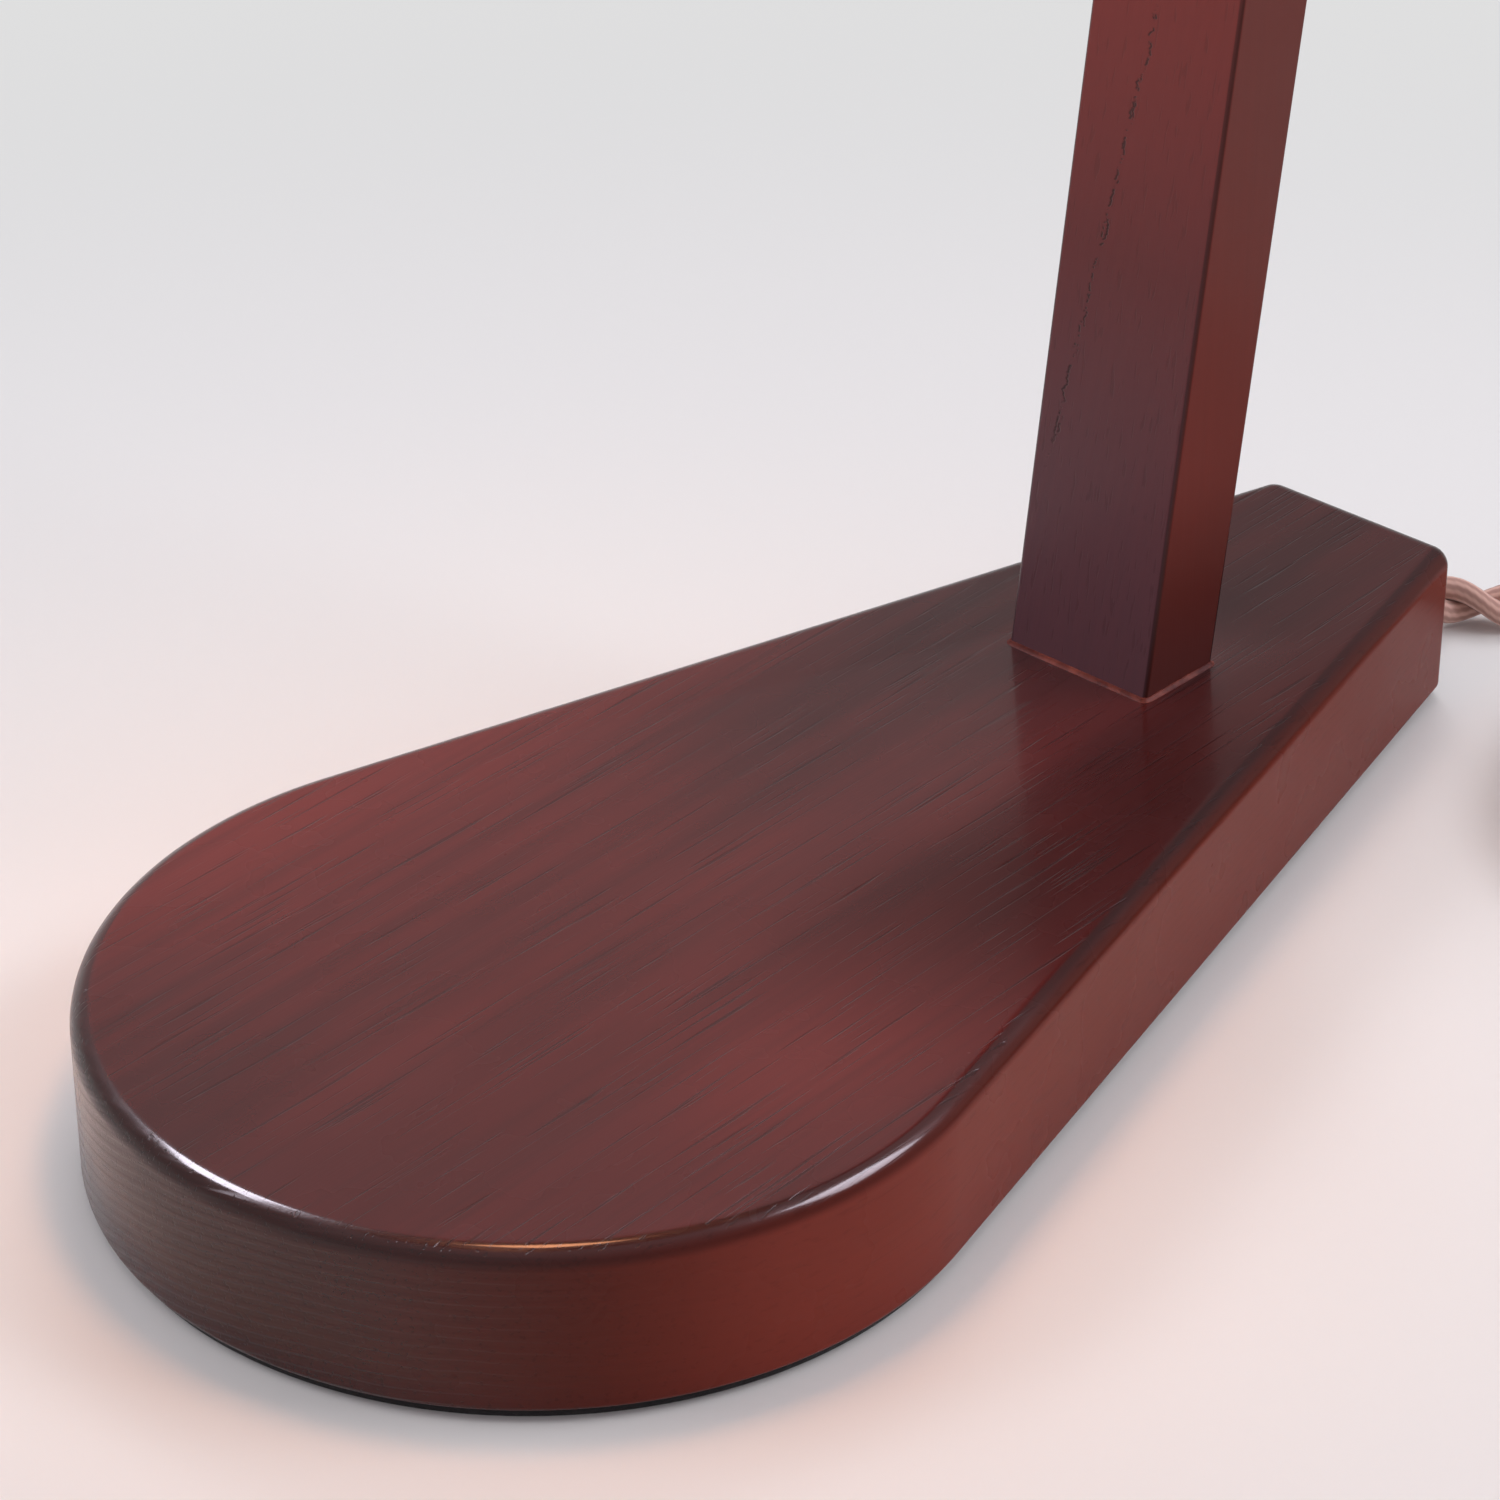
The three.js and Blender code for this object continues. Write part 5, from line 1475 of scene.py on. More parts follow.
def ring_of_ribs(name: str, radius: float, count: int, size: Sizes, height: float) -> Pattern:
    """Starts a ring of upright ribs about +Z.

    Args:
        name: The pattern's name.
        radius: From the axis to a rib's middle.
        count: The number of ribs.
        size: A rib's depth, width and height.
        height: Of the ribs' middle.

    Returns:
        The pattern.
    """
    depth, width, tall = size
    ribs = {"rib_depth": depth, "rib_width": width, "rib_height": tall}
    tree = Pattern(name, radius=radius, ribs=count, **ribs, middle=height)
    ring = tree.make("MeshCircle", {"Vertices": tree["ribs"], "Radius": tree["radius"]})
    turn = tree.add("ShaderNodeVectorMath", {0: tree.make("InputPosition")}, operation="NORMALIZE").outputs[0]
    facing = tree.add("FunctionNodeAlignRotationToVector", {"Vector": turn}, axis="X", pivot_axis="Z")
    rib = tree.make("MeshCylinder", {"Vertices": 12, "Radius": 0.5, "Depth": 1.0})
    scale = tree.point(tree["rib_depth"], tree["rib_width"], tree["rib_height"])
    rows = tree.spread(ring, tree.make("Transform", {"Geometry": rib, "Scale": scale}),
                       Rotation=facing.outputs[0])
    tree.shape = tree.make("Transform", {"Geometry": rows, "Translation": tree.point(z=tree["middle"])})
    return tree


def wire_ring(name: str, radius: float, wire: float, height: float) -> Pattern:
    """Starts a ring of round wire about +Z.

    Args:
        name: The pattern's name.
        radius: Of the ring's centreline.
        wire: The wire's radius.
        height: Of the ring.

    Returns:
        The pattern.
    """
    tree = Pattern(name, radius=radius, wire_radius=wire, height=height)
    ring = tree.make("CurvePrimitiveCircle", {"Resolution": 192, "Radius": tree["radius"]})
    wire_end = tree.make("CurvePrimitiveCircle", {"Resolution": 16, "Radius": tree["wire_radius"]})
    swept = tree.make("CurveToMesh", {"Curve": ring, "Profile Curve": wire_end})
    tree.shape = tree.make("Transform", {"Geometry": swept, "Translation": tree.point(z=tree["height"])})
    return tree


@dataclass
class Holder(SubAssembly):
    """The brass lamp holder with its insides, the shade's clamp and the pull switch."""

    rides: Body = Body.HEAD
    cap_top: float = -16.6
    length: float = 54.0
    cap: Sizes = (9.0, 17.0, 18.0)  # the flat top's radius, the wall's and the height
    cap_bore: float = 5.1
    shell_radius: float = 16.0
    wall: float = 0.7
    overlap: float = 5.0
    carrier: Sizes = (19.0, 11.0, 21.5, 2.0)  # the skirt's radius and height, and the flange's
    ring_nut: Sizes = (22.5, 4.0)
    outlet: Sizes = (3.6, 2.3, 24.0, 36.0, 12.0)  # radius, bore, depth of its axis, reach of the chain, drop

    @property
    def mouth(self) -> float:
        """The height of the holder's open end, in the head's axes."""
        return self.cap_top - self.length

    def build(self) -> None:
        """Makes the cap, the shell, the clamp and the outlet, and dresses the insides."""
        finishes, head = self.finishes, self.layout.head
        top, mouth = self.cap_top, self.mouth
        flat, radius, height = self.cap
        bore, bottom, shoulder = self.cap_bore, top - height, top - height / 2
        turns = np.linspace(0, pi / 2, 14)

        def dome(inset: float) -> list[Point]:
            """Gives the cap's round shoulder, drawn in from its skin."""
            wide, tall = radius - inset - flat, top - inset - shoulder
            return [(flat + wide * sin(t), shoulder + tall * cos(t)) for t in turns]

        steps = [(0, 4.4), (0.45, 3.9), (0.45, 3.2), (0, 2.7), (0, 0.9), (0.3, 0.3), (0, 0)]
        roll = [(radius + out, bottom + up) for out, up in steps]
        start = (bore, top - self.wall)
        inner = reversed(dome(self.wall))
        profile = [start, (bore, top), *dome(0), *roll, (radius - self.wall, bottom), *inner, start]
        cap = turned("holder_cap_shell", profile, head, sharp=40)
        self.place(cap, finishes.brass, "brass", "holder_cap")

        outer, high, low = self.shell_radius, bottom + self.overlap, mouth + SEAT_GAP
        beads = [(outer - self.wall, low), (outer, low), (outer, low + 13), (outer + 0.25, low + 13.6),
                 (outer + 0.25, low + 14.6), (outer, low + 15.2), (outer, high), (outer - self.wall, high),
                 (outer - self.wall, low)]
        shell = turned("holder_tube", bent(beads, 0.3, 3), head, sharp=40)
        hole_radius, _, depth, _, _ = self.outlet
        across = head @ Matrix.Translation((0, 0, top - depth)) @ ACROSS
        hole = turned("hole", sleeve(0, hole_radius + SEAT_GAP, 0, 30), across, 48)
        self.place(combined(shell, [hole]), finishes.brass, "brass", "holder_shell")
        self.dress(finishes.fibre, "holder_liner")
        self.dress(finishes.porcelain, "socket_base")
        self.dress(finishes.bakelite, "switch_block")
        self.dress(finishes.wire, "screw_shell", "centre_contact", "bulb_cap", "bulb_tip")
        self.clamp()
        self.chain_outlet()

    def clamp(self) -> None:
        """Makes the threaded collar that carries the shade, and the ribbed ring nut under its hub."""
        finishes, head, mouth = self.finishes, self.layout.head, self.mouth
        radius, height, flange, thickness = self.carrier
        bore, high = self.shell_radius + SEAT_GAP, mouth + height
        low = high - thickness
        thread = [(radius - 0.35 * (k % 2), mouth + 0.7 + k * 0.6) for k in range(12)]
        rim = [(flange - 0.4, low), (flange, low + 0.4), (flange, high - 0.4), (flange - 0.4, high)]
        profile = [(bore, mouth), (radius - 0.5, mouth), *thread, (radius, low), *rim, (bore, high),
                   (bore, mouth)]
        self.place(turned("shade_collar", profile, head), finishes.bakelite, "bakelite", "shade_carrier")
        radius, height = self.ring_nut
        high = low - SEAT_GAP - self.layout.hub_thickness - SEAT_GAP
        low, bore, waist = high - height, self.carrier[0] + SEAT_GAP, radius - 0.7
        nut = turned("ring_nut_body", bent(sleeve(bore, waist, low, high), 0.4, 3), head)
        ribs = ring_of_ribs("ring_nut_ribs", waist, 40, (1.3, 1.7, height - 0.8), (low + high) / 2)
        grip = ribs.made(finishes.bakelite, head)
        self.place(nut, finishes.bakelite, "bakelite", "shade_ring_nut")
        self.place(grip, finishes.bakelite, "bakelite")

    def chain_outlet(self) -> None:
        """Makes the bent tube that the chain runs out of, with a rolled mouth."""
        head, brass = self.layout.head, self.finishes.brass
        radius, bore, depth, reach, drop = self.outlet
        level, turn = self.cap_top - depth, 6.0
        bend = arc((reach - turn, level - turn), turn, pi / 2, 0, 12)
        path = [(14.4, level), (22.0, level), *bend.tolist(), (reach, level - drop)]
        line = np.array([(x, 0.0, z) for x, z in path])
        pipe = tube("outlet_pipe", line, radius, head, 32, bore)
        lip = wire_ring("outlet_lip", radius - 0.5, 0.62, level - drop)
        rolled = lip.made(brass, head @ Matrix.Translation((reach, 0, 0)))
        self.place(pipe, brass, "brass", "chain_outlet")
        self.place(rolled, brass, "brass")


@dataclass
class Pull(SubAssembly):
    """The bead chain and the bell on its end."""

    rides: Body = Body.PULL
    reach: float = 36.0
    top: float = -44.6
    bead_radius: float = 1.6
    link_radius: float = 0.6
    pitch: float = 4.0
    beads: int = 34
    bell: Sizes = (1.7, 4.2, 15.0)  # the neck's radius, the mouth's and the height

    def build(self) -> None:
        """Makes the chain and the bell."""
        brass, centre = self.finishes.brass, self.layout.head @ Matrix.Translation((self.reach, 0, self.top))
        chain = bead_chain(self.bead_radius, self.link_radius, self.pitch, self.beads)
        self.place(chain.made(brass, centre), brass, "brass", "pull_chain")
        neck, radius, height = self.bell
        top = -self.pitch * self.beads - SEAT_GAP
        shares = np.linspace(0, 1, 10)
        flare = [(0.55 * radius + 0.45 * radius * t**1.8, top - height / 2 * (1 + t)) for t in shares]
        waist = [(neck, top - 1.0), (neck + 0.5, top - 1.6), (neck, top - 2.2), (neck, top - height / 4)]
        mouth, inside = top - height, top - height + 1.2
        lip = [(radius - 0.5, mouth), (radius - 1.1, inside), (0, inside)]
        profile = [(0, top), (neck, top), *waist, *flare, *lip]
        self.place(turned("bell", profile, centre, 64), brass, "brass", "pull_bell")


@dataclass
class Bulb(SubAssembly):
    """The opal bulb."""

    rides: Body = Body.HEAD
    radius: float = 30.0
    length: float = 85.0
    neck: float = 13.2
    wall: float = 0.9
    flank: float = 0.42

    def outline(self, inset: float, mouth: float) -> list[Point]:
        """Gives the glass's profile from its lowest point to its neck.

        Args:
            inset: How far the profile is drawn in from the skin.
            mouth: The height of the lamp holder's open end.

        Returns:
            Points of radius and height.
        """
        centre, radius = mouth - self.length + self.radius, self.radius - inset
        flank = self.flank * pi / 2
        turns = np.linspace(-pi / 2, flank, 40)
        points = [(radius * cos(t), centre + radius * sin(t)) for t in turns]
        points[0] = (0.0, centre - radius)
        start, end = Vector(points[-1]), Vector((self.neck - inset, mouth - SEAT_GAP))
        pull = (end - start).length * self.flank
        handles = start + Vector((-sin(flank), cos(flank))) * pull, end - Vector((0, pull))
        for t in np.linspace(0, 1, 20)[1:]:
            point = start * (1 - t) ** 3 + handles[0] * 3 * t * (1 - t) ** 2
            point += handles[1] * 3 * t * t * (1 - t) + end * t**3
            points.append((point.x, point.y))
        return points

    def build(self, mouth: float) -> None:
        """Makes the glass.

        Args:
            mouth: The height of the lamp holder's open end, in the head's axes.
        """
        profile = [*self.outline(0, mouth), *reversed(self.outline(self.wall, mouth))]
        glass = turned("bulb", profile, self.layout.head)
        self.place(glass, self.finishes.opal, "opal_glass", "bulb_glass")


@dataclass
class Shade(SubAssembly):
    """The conical linen shade on its wire frame."""

    rides: Body = Body.HEAD
    top: float = -57.0
    height: float = 125.0
    top_radius: float = 55.0
    bottom_radius: float = 95.0
    wall: float = 1.0
    wire: float = 1.3
    trim: float = 8.0
    trim_faces: Sizes = (0.3, 0.85)  # from the linen's outer face
    hub_radius: float = 22.5
    hub_bore: float = 19.3
    spokes: int = 3
    lap: float = radians(7)

    def radius_at(self, height: float) -> float:
        """Gives the outer radius at a height."""
        return self.top_radius + (self.bottom_radius - self.top_radius) * (self.top - height) / self.height

    def build(self, hub_top: float) -> None:
        """Makes the panel, its trims, the wires and the spider.

        Args:
            hub_top: The height of the spider's hub, in the head's axes.
        """
        head, finishes = self.layout.head, self.finishes
        sheet = self.panel()
        piece = sheet.made(finishes.linen, head, wall=self.wall)
        self.map_cloth(piece)
        self.place(piece, finishes.linen, "linen", "shade_panel")
        bottom = self.top - self.height
        near, far = self.trim_faces
        for name, low, node in (("binding_top", self.top - self.trim, "shade_trim_top"),
                                ("binding_bottom", bottom, "shade_trim_bottom")):
            high = low + self.trim
            below, above = self.radius_at(low), self.radius_at(high)
            start = (below + near, low)
            band = [start, (below + far, low), (above + far, high), (above + near, high), start]
            binding = turned(name, bent(band, 0.25, 3), head, 192)
            self.map_cloth(binding)
            self.place(binding, finishes.linen_trim, "linen", node)

        slope = (self.bottom_radius - self.top_radius) / self.height
        inset = self.wall + SEAT_GAP + self.wire * (1 + slope)
        high, low = self.top - self.wire, bottom + self.wire
        ring = wire_ring("bottom_ring", self.radius_at(low) - inset, self.wire, low)
        self.place(ring.made(finishes.wire, head), finishes.wire, "plated_wire", "shade_bottom_wire")
        upper = wire_ring("spider_ring", self.radius_at(high) - inset, self.wire, high)
        spider = upper.made(finishes.wire, head)
        thick = self.layout.hub_thickness
        hub = sleeve(self.hub_bore, self.hub_radius, hub_top - thick, hub_top)
        parts = [turned("hub", bent(hub, 0.3, 3), head, 64)]
        for k in range(self.spokes):
            turn = k * 2 * pi / self.spokes + pi / 2
            out = np.array([cos(turn), sin(turn), 0.0])
            start, end = self.hub_radius - 0.65, self.radius_at(high) - inset
            line = np.array([out * start + (0, 0, hub_top - thick / 2), out * end + (0, 0, high)])
            parts.append(tube(f"arm_{k}", line, self.wire, head, 16))
        combined(spider, parts, "UNION", 30)
        self.place(spider, finishes.wire, "plated_wire", "shade_spider")

    def panel(self) -> Pattern:
        """Starts the linen cone: a flat grid rolled up, whose end laps over its start at the back.

        Returns:
            The pattern.
        """
        tree = Pattern("linen_cone", top_radius=self.top_radius, bottom_radius=self.bottom_radius,
                       height=self.height, top=self.top, lap=self.lap, lap_step=0.28)
        grid = tree.make("MeshGrid", {"Size X": 1.0, "Size Y": 1.0, "Vertices X": 241, "Vertices Y": 16})
        apart = tree.parts(tree.make("InputPosition"))
        along, up = tree.plus(apart[0], 0.5), tree.plus(apart[1], 0.5)
        whole = tree.plus(tree["lap"], 2 * pi)
        turn = tree.plus(tree.times(along, whole), pi / 2)
        spread = tree.math("SUBTRACT", tree["top_radius"], tree["bottom_radius"])
        radius = tree.math("MULTIPLY_ADD", up, spread, tree["bottom_radius"])
        sunk = tree.times(tree.span(along, 0.9, 0.98, 1.0, 0.0), tree["lap_step"])
        radius = tree.math("SUBTRACT", radius, sunk)
        height = tree.times(tree.math("SUBTRACT", up, 1.0), tree["height"])
        x, y = (tree.times(radius, tree.math(wave, turn)) for wave in ("COSINE", "SINE"))
        place = tree.point(x, y, tree.plus(height, tree["top"]))
        tree.shape = tree.make("SetPosition", {"Geometry": grid, "Position": place})
        return tree

    def map_cloth(self, piece: Piece) -> None:
        """Writes the cloth's map: once round the cone, and once up it.

        Args:
            piece: A piece about the head's axis.
        """
        mesh = piece.data
        layer = mesh.uv_layers.new(name="cloth")
        bottom = self.layout.head.translation.z + self.top - self.height
        for face in mesh.polygons:
            places = [mesh.vertices[index].co for index in face.vertices]
            turns = [atan2(place.y, place.x) / (2 * pi) for place in places]
            wraps = max(turns) - min(turns) > 0.5
            for corner, place, turn in zip(face.loop_indices, places, turns):
                height = (place.z / MM - bottom) / self.height
                layer.data[corner].uv = (turn + (1 if wraps and turn < 0 else 0), height)


@dataclass
class Cord(SubAssembly):
    """The twisted cotton cord: its free stretch, its coil, the tie round it and the plug."""

    route: tuple[Sizes, ...] = (
        (0, 178.3, 6.6), (0.61, 183.2, 6.3), (2.41, 187.6, 5.4), (4.95, 191.4, 4.4), (8.5, 194.7, 3.9),
        (14.23, 198.72, 3.75), (24.88, 206.18, 3.8), (35.52, 213.64, 4.2), (48.63, 222.82, 4.6),
        (56.45, 228.3, 4.65),
    )
    exit: Sizes = (0.0, 178.0, 6.6)
    length: float = 1800.0
    radius: float = 3.65
    floor_gap: float = 0.1
    lead: float = 8.0
    turns: float = 6.25
    climb_turns: float = 0.5
    finish_turns: float = 0.25
    pitch: float = 8.0
    lift: float = 0.9
    tail: float = 33.0
    plug_radius: float = 13.0
    plug_length: float = 31.0
    twist: float = -21.2  # along the cord, for one whole turn of its strands, against the clock
    tie_turn: float = radians(-215)
    tie_width: float = 9.0
    tie_thickness: float = 0.6
    tie_room: float = 0.7
    tie_corner: float = 3.0
    outer: float = 0.0  # the coil's radius where the cord enters it, known once the cord is laid
    start: float = 0.0  # the way from the coil's centre to that place

    def run(self) -> np.ndarray:
        """Follows the free stretch, on a centripetal curve through the route's points.

        Returns:
            Its points, close together.
        """
        points = [np.array(p, float) for p in self.route]
        points = [2 * points[0] - points[1], *points, 2 * points[-1] - points[-2]]
        line: list[np.ndarray] = []
        for before, start, end, after in zip(points, points[1:], points[2:], points[3:]):
            steps = (start - before, end - start, after - end)
            d0, d1, d2 = (np.dot(step, step) ** 0.25 for step in steps)
            t1 = ((start - before) / d0 - (end - before) / (d0 + d1) + (end - start) / d1) * d1
            t2 = ((end - start) / d1 - (after - start) / (d1 + d2) + (after - end) / d2) * d1
            cubic = 2 * start - 2 * end + t1 + t2
            square = -3 * start + 3 * end - 2 * t1 - t2
            for t in np.linspace(0, 1, 40, endpoint=False):
                line.append(start + t1 * t + square * t**2 + cubic * t**3)
        return np.array([*line, points[-2]])

    def centreline(self) -> tuple[np.ndarray, np.ndarray, np.ndarray]:
        """Follows the whole cord.

        Returns:
            Its points in millimetres, the way that it points at the plug, and the coil's centre.
        """
        run = self.run()
        ahead = (run[-1] - run[-2]) * (1, 1, 0)
        ahead /= np.linalg.norm(ahead)
        run_length = np.linalg.norm(np.diff(run, axis=0), axis=1).sum()
        entry = run[-1] + ahead * self.lead
        wound = self.length - run_length - self.lead - self.tail
        outer = wound / (2 * pi * self.turns) + self.turns / 4 * self.pitch
        centre = (entry + np.array([ahead[1], -ahead[0], 0]) * outer) * (1, 1, 0)
        start = atan2(entry[1] - centre[1], entry[0] - centre[0])
        low = self.radius + self.floor_gap + self.lift
        plug_height = self.plug_radius + self.floor_gap
        turns = np.linspace(0, self.turns, int(self.turns * 120))

        def eased(begin: float, span: float) -> np.ndarray:
            """Rises smoothly from 0 to 1 over some turns."""
            share = np.clip((turns - begin) / span, 0, 1)
            return share * share * (3 - 2 * share)

        reach = outer - self.pitch * np.minimum(turns, self.turns - turns)
        climb = self.pitch * eased((self.turns - self.climb_turns) / 2, self.climb_turns)
        finish = eased(self.turns - self.finish_turns, self.finish_turns)
        height = low + climb + (plug_height - low - self.pitch) * finish
        angle = start - turns * 2 * pi
        coil = np.stack([centre[0] + reach * np.cos(angle), centre[1] + reach * np.sin(angle), height], 1)
        way = (coil[-1] - coil[-2]) * (1, 1, 0)
        way /= np.linalg.norm(way)
        self.outer, self.start = outer, start
        return np.concatenate([[self.exit], run, coil, [coil[-1] + way * self.tail]]), way, centre

    def even(self, line: np.ndarray, steps: Sizes) -> np.ndarray:
        """Gives the points of a line at some distances from its start."""
        apart = np.concatenate([[0], np.cumsum(np.linalg.norm(np.diff(line, axis=0), axis=1))])
        return np.stack([np.interp(steps, apart, line[:, k]) for k in range(3)], 1)

    def build(self) -> None:
        line, way, centre = self.centreline()
        whole = np.linalg.norm(np.diff(line, axis=0), axis=1).sum()
        steps = np.concatenate([np.arange(0, 60, 0.5), np.arange(60, whole - 0.5, 1.6), [whole - SEAT_GAP]])
        path = self.even(line, steps)
        rope = self.strands(path, steps)
        plug = self.plug(path[-1], way)
        tie, stitches = self.tie(centre)
        self.place(rope, self.finishes.cotton, "rose_cotton", "cord_run", "cord_coil")

    def strands(self, path: np.ndarray, steps: np.ndarray) -> Piece:
        """Twists the two strands round the centreline, as one mesh with a map.

        Args:
            path: The centreline.
            steps: Each point's distance from the start.

        Returns:
            The cord.
        """
        frames, sides, size = carried_frames(path), 14, self.radius / 2
        vertices, faces, maps = [], [], []
        turns = np.arange(sides) * 2 * np.pi / sides
        for strand in range(2):
            base = len(vertices) * sides
            for i, (point, (side, up)) in enumerate(zip(path, frames)):
                phase = steps[i] * 2 * pi / self.twist + strand * pi
                across = cos(phase) * side + sin(phase) * up
                over = -sin(phase) * side + cos(phase) * up
                ring = np.cos(turns)[:, None] * across + np.sin(turns)[:, None] * over
                vertices.append(point + size * across + size * ring)
                if i:
                    low, high = base + (i - 1) * sides, base + i * sides
                    for k in range(sides):
                        after = (k + 1) % sides
                        faces.append((low + k, low + after, high + after, high + k))
                        maps.append([(steps[i - 1], k / sides), (steps[i - 1], (k + 1) / sides),
                                     (steps[i], (k + 1) / sides), (steps[i], k / sides)])
            last = base + (len(path) - 1) * sides
            for cap in (range(base + sides - 1, base - 1, -1), range(last, last + sides)):
                faces.append(tuple(cap))
                maps.append([(0.0, 0.0)] * sides)
        mesh = bpy.data.meshes.new("twisted_cord")
        mesh.from_pydata((np.concatenate(vertices) * MM).tolist(), [], faces)
        layer = mesh.uv_layers.new(name="strand")
        layer.data.foreach_set("uv", [value for face in maps for corner in face for value in corner])
        mesh.shade_smooth()
        piece = as_object("twisted_cord", mesh)
        work = bmesh.new()
        work.from_mesh(mesh)
        bmesh.ops.recalc_face_normals(work, faces=work.faces)
        work.to_mesh(mesh)
        work.free()
        return piece

    def tie(self, centre: np.ndarray) -> tuple[Piece, Piece]:
        """Makes the webbing strap round the coil, its lapped end and its stitches.

        Args:
            centre: The coil's centre.

        Returns:
            The strap and the stitches.
        """
        held = [k - self.tie_turn / (2 * pi) for k in range(int(self.turns))]
        reaches = [self.outer - self.pitch * min(turn, self.turns - turn) for turn in held]
        inner, outer = min(reaches) - self.radius - self.tie_room, max(reaches) + self.radius + self.tie_room
        low = self.floor_gap + self.tie_thickness
        high = self.radius * 2 + self.floor_gap + self.lift + self.pitch + self.tie_room
        corner = self.tie_corner
        loop = rounded((inner, low), (outer, high), corner, corner + self.tie_thickness / 2, 8)
        out = outward(loop)
        placement = Matrix.Translation(centre) @ Matrix.Rotation(self.start + self.tie_turn, 4, "Z")
        half, thick = self.tie_width / 2, self.tie_thickness / 2 - 0.05
        rings = []
        for side, face in ((-half, -thick), (-half, thick), (half, thick), (half, -thick)):
            plan = loop + out * face
            rings.append(np.column_stack([plan[:, 0], np.full(len(plan), side), plan[:, 1]]))
        strap = skin("strap", rings, placement, loop=True)
        top = high + self.tie_thickness
        lap = box("lap", (inner + 6, -half, top + 0.05), (outer - 4, half, top + 0.75), placement)
        combined(strap, [eased(lap, 0.2)], "UNION")
        self.place(strap, self.finishes.webbing, "dark_webbing", "cord_tie")
        stitch = Pattern("strap_stitches", stitches=6, across=self.tie_width - 2.0, length=0.9,
                         thickness=0.35)
        gap = stitch.math("DIVIDE", stitch["across"], stitch.math("SUBTRACT", stitch["stitches"], 1.0))
        first = stitch.point(y=stitch.times(stitch["across"], -0.5))
        line = {"Count": stitch["stitches"], "Start Location": first, "Offset": stitch.point(y=gap)}
        thread = stitch.make("MeshUVSphere", {"Segments": 10, "Rings": 6, "Radius": 0.5})
        size = stitch.point(stitch["thickness"], stitch["length"], stitch["thickness"])
        thread = stitch.make("Transform", {"Geometry": thread, "Scale": size})
        stitch.shape = stitch.spread(stitch.make("MeshLine", line, mode="OFFSET"), thread)
        where = placement @ Matrix.Translation((inner + 7.2, 0, top + 0.78))
        stitches = stitch.made(self.finishes.webbing, where)
        self.place(stitches, self.finishes.webbing, "dark_webbing")
        return strap, stitches

    def plug(self, end: np.ndarray, way: np.ndarray) -> Piece:
        """Makes the plug's ribbed body and dresses its blades.

        Args:
            end: Where the cord ends.
            way: The way that the cord points there.

        Returns:
            The plug's body.
        """
        length, radius, throat = self.plug_length, self.plug_radius, 5.2
        swell = [(0.0, 0.0), (0.14, 0.06), (0.3, 0.34), (0.42, 0.72), (0.54, 0.94), (0.66, 1.0), (0.86, 1.0)]
        along = np.linspace(0, swell[-1][0], 60)
        reach = np.interp(along, *zip(*swell))
        reach = np.convolve(np.pad(reach, 4, "edge"), np.ones(9) / 9, "valid")
        ribbed = (along > 0.08) & (along < 0.36)
        ribs = 0.22 * np.maximum(0, np.sin((along - 0.08) * 2 * np.pi / 0.055)) * ribbed
        body = [(throat + (radius - throat) * r + rib, a * length) for a, r, rib in zip(along, reach, ribs)]
        front = [(12.6, 0.93 * length), (11.9, 0.985 * length), (11.2, length), (0, length)]
        profile = [(0, 0), (throat - 0.4, 0), *body, *front]
        turn = Matrix.Rotation(atan2(way[1], way[0]), 4, "Z") @ ACROSS
        place = Matrix.Translation((end[0], end[1], radius + self.floor_gap)) @ turn
        plug = turned("plug", profile, place)
        combined(plug, [hull_of(f"plug_blade_{side}", 0.15) for side in ("left", "right")])
        self.place(plug, self.finishes.bakelite, "bakelite", "plug_body")
        self.dress(self.finishes.wire, "plug_blade_left", "plug_blade_right")
        return plug


# The studio


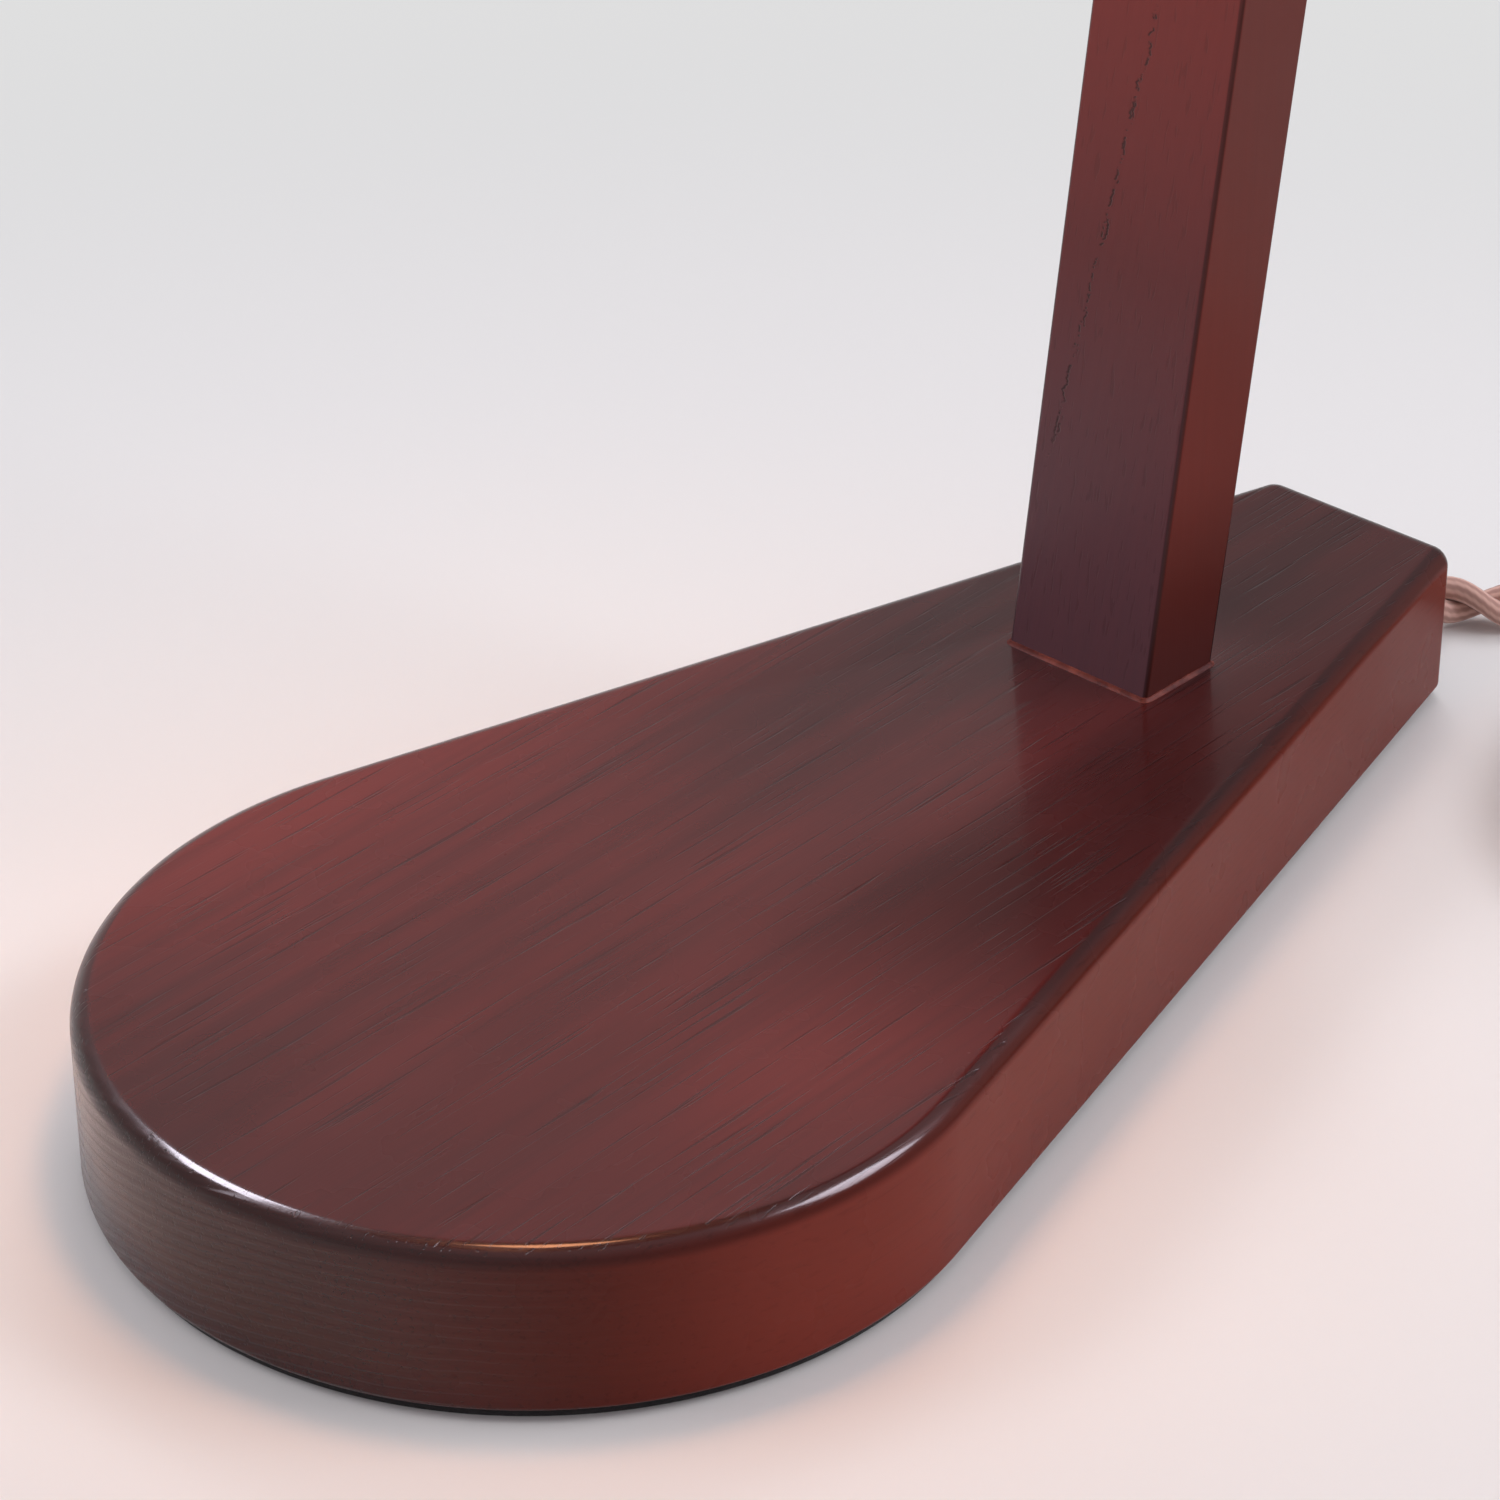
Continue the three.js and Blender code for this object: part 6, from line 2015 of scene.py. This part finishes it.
@dataclass(frozen=True)
class Studio:
    """The camera, the floor and the lights."""

    camera_place: Sizes = (375.695, -362.663, 367.084)
    yaw: float = radians(43.08)
    pitch: float = radians(30.63)
    lens: float = 117.05
    horizon: float = 0.38
    zenith: float = 0.78
    backdrop: float = 0.745
    middle: Sizes = (0.05, 0.0, 0.0)

    def camera(self) -> None:
        """Makes the camera at the photograph's place."""
        data = bpy.data.cameras.new("camera")
        data.lens, data.sensor_width, data.sensor_fit = self.lens, 36.0, "HORIZONTAL"
        data.clip_start, data.clip_end = 0.05, 50.0
        camera = as_object("camera", data)
        level = cos(self.pitch)
        ahead = Vector((-sin(self.yaw) * level, cos(self.yaw) * level, -sin(self.pitch)))
        camera.location = Vector(self.camera_place) * MM
        camera.rotation_euler = (-ahead).to_track_quat("Z", "Y").to_euler()
        bpy.context.scene.camera = camera

    def seen(self, tree: Tree, glossy: float | Socket) -> Socket:
        """Tells the rays that show the plain backdrop.

        Args:
            tree: The node tree that asks.
            glossy: The share of it that shows in glossy reflections.

        Returns:
            1 for what the camera sees, also through glass, and that share for reflections.
        """
        path = tree.add("ShaderNodeLightPath").outputs
        straight = tree.math("MAXIMUM", path["Is Camera Ray"], path["Is Transmission Ray"])
        return tree.math("MAXIMUM", straight, tree.times(path["Is Glossy Ray"], glossy))

    def floor(self) -> None:
        """Makes the pale floor, which passes into the plain backdrop far from the lamp."""
        mesh = bpy.data.meshes.new("floor")
        mesh.from_pydata([(-20, -20, 0), (20, -20, 0), (20, 20, 0), (-20, 20, 0)], [], [(0, 1, 2, 3)])
        floor = as_object("floor", mesh)
        paper = Shader("pale_floor", Roughness=0.8, Specular_IOR_Level=0.1)
        ends = {0: paper.place, 1: self.middle}
        away = paper.add("ShaderNodeVectorMath", ends, operation="DISTANCE").outputs["Value"]
        # Painted pool of light: the floor's colour is lighter near the lamp and greyer further from it.
        near = paper.span(away, 0.15, 0.6, 1.0, 0.0)
        paper.set(Base_Color=paper.blend(near, srgb(205, 209, 209), srgb(230, 230, 230)))
        seen = paper.times(self.seen(paper, 1.0), paper.span(away, 0.22, 0.5))
        glow = paper.add("ShaderNodeEmission", {1: self.backdrop}).outputs[0]
        whole = paper.add("ShaderNodeMixShader", {0: seen, 1: paper.shader.outputs[0], 2: glow}).outputs[0]
        output = next(node for node in paper.tree.nodes if node.type == "OUTPUT_MATERIAL")
        paper.tree.links.new(whole, output.inputs[0])
        mesh.materials.append(paper.material)

    def world(self) -> None:
        """Makes the pale surroundings, which light softly and show as a plain light grey."""
        world = bpy.data.worlds.new("surroundings")
        world.use_nodes = True
        tree = Tree(world.node_tree)
        background = next(node for node in world.node_tree.nodes if node.type == "BACKGROUND")
        up = tree.parts(tree.add("ShaderNodeTexCoord").outputs["Generated"])[2]
        seen = self.seen(tree, tree.span(up, 0.02, 0.4, 1.0, 0.2))
        rise = tree.math("POWER", up, 2.0)
        soft = tree.math("MULTIPLY_ADD", rise, self.zenith - self.horizon, self.horizon)
        strength = tree.add("ShaderNodeMix", {0: seen, 2: soft, 3: self.backdrop}).outputs[0]
        tree.tree.links.new(strength, background.inputs["Strength"])
        tinted = tree.blend(seen, (1.0, 0.945, 0.985, 1.0), (1.0, 1.0, 1.0, 1.0))
        tree.tree.links.new(tinted, background.inputs["Color"])
        bpy.context.scene.world = world

    def lamp(self, name: str, place: Sizes, target: Sizes, size: Point, power: float,
             colour: Colour) -> Piece:
        """Makes a soft box.

        Args:
            name: The light's name.
            place: Where it stands, in metres.
            target: What it points at, in metres.
            size: Its width and height, in metres.
            power: In watts.
            colour: Its colour.

        Returns:
            The light.
        """
        data = bpy.data.lights.new(name, "AREA")
        data.shape, data.size, data.size_y, data.energy, data.color = "RECTANGLE", *size, power, colour[:3]
        light = as_object(name, data)
        light.location = place
        light.rotation_euler = (Vector(place) - Vector(target)).to_track_quat("Z", "Y").to_euler()
        return light

    def lights(self) -> None:
        """Makes the soft lights, two that show only in the lacquer, and the warm one under the shade."""
        centre = (0.0, 0.05, 0.05)
        for name, place, size, power in (
            ("key_light", (-0.69, 0.98, 1.7), (0.8, 0.8), 8.2),
            ("fill_left", (-0.626, -0.526, 0.736), (0.5, 0.3), 2.5),
            ("fill_right", (0.588, 0.549, 0.75), (0.5, 0.3), 3.3),
        ):
            self.lamp(name, place, centre, size, power, srgb(253, 252, 255)).visible_glossy = False
        for name, place, size, power in (
            ("rim_left", (-0.67, -0.02, 0.9), (0.44, 0.22), 10.0),
            ("rim_right", (0.55, 0.52, 0.7), (0.42, 0.4), 13.0),
        ):
            self.lamp(name, place, centre, size, power, srgb(246, 240, 255)).visible_diffuse = False
        warm = srgb(255, 172, 124)
        bulb = self.lamp("bulb_light", (0.0, 0.0, 0.236), (0.0, 0.0, 0.0), (0.05, 0.05), 0.05, warm)
        bulb.data.spread = radians(86)


def main() -> None:
    """Builds the camera, the cord and then the rest of the lamp."""
    logging.basicConfig(level=logging.INFO, format="%(name)s: %(message)s")
    bpy.context.scene.view_settings.view_transform = "Standard"
    layout, finishes, studio = Layout(), Finishes(), Studio()
    studio.camera()
    Cord(layout, finishes).build()
    Base(layout, finishes).build()
    Stem(layout, finishes).build()
    Arm(layout, finishes).build()
    Hanger(layout, finishes).build()
    holder = Holder(layout, finishes)
    holder.build()
    Bulb(layout, finishes).build(holder.mouth)
    hub_top = holder.mouth + holder.carrier[1] - holder.carrier[3] - SEAT_GAP
    Shade(layout, finishes).build(hub_top)
    Pull(layout, finishes).build()
    studio.floor()
    studio.world()
    studio.lights()


if __name__ == "__main__":
    main()
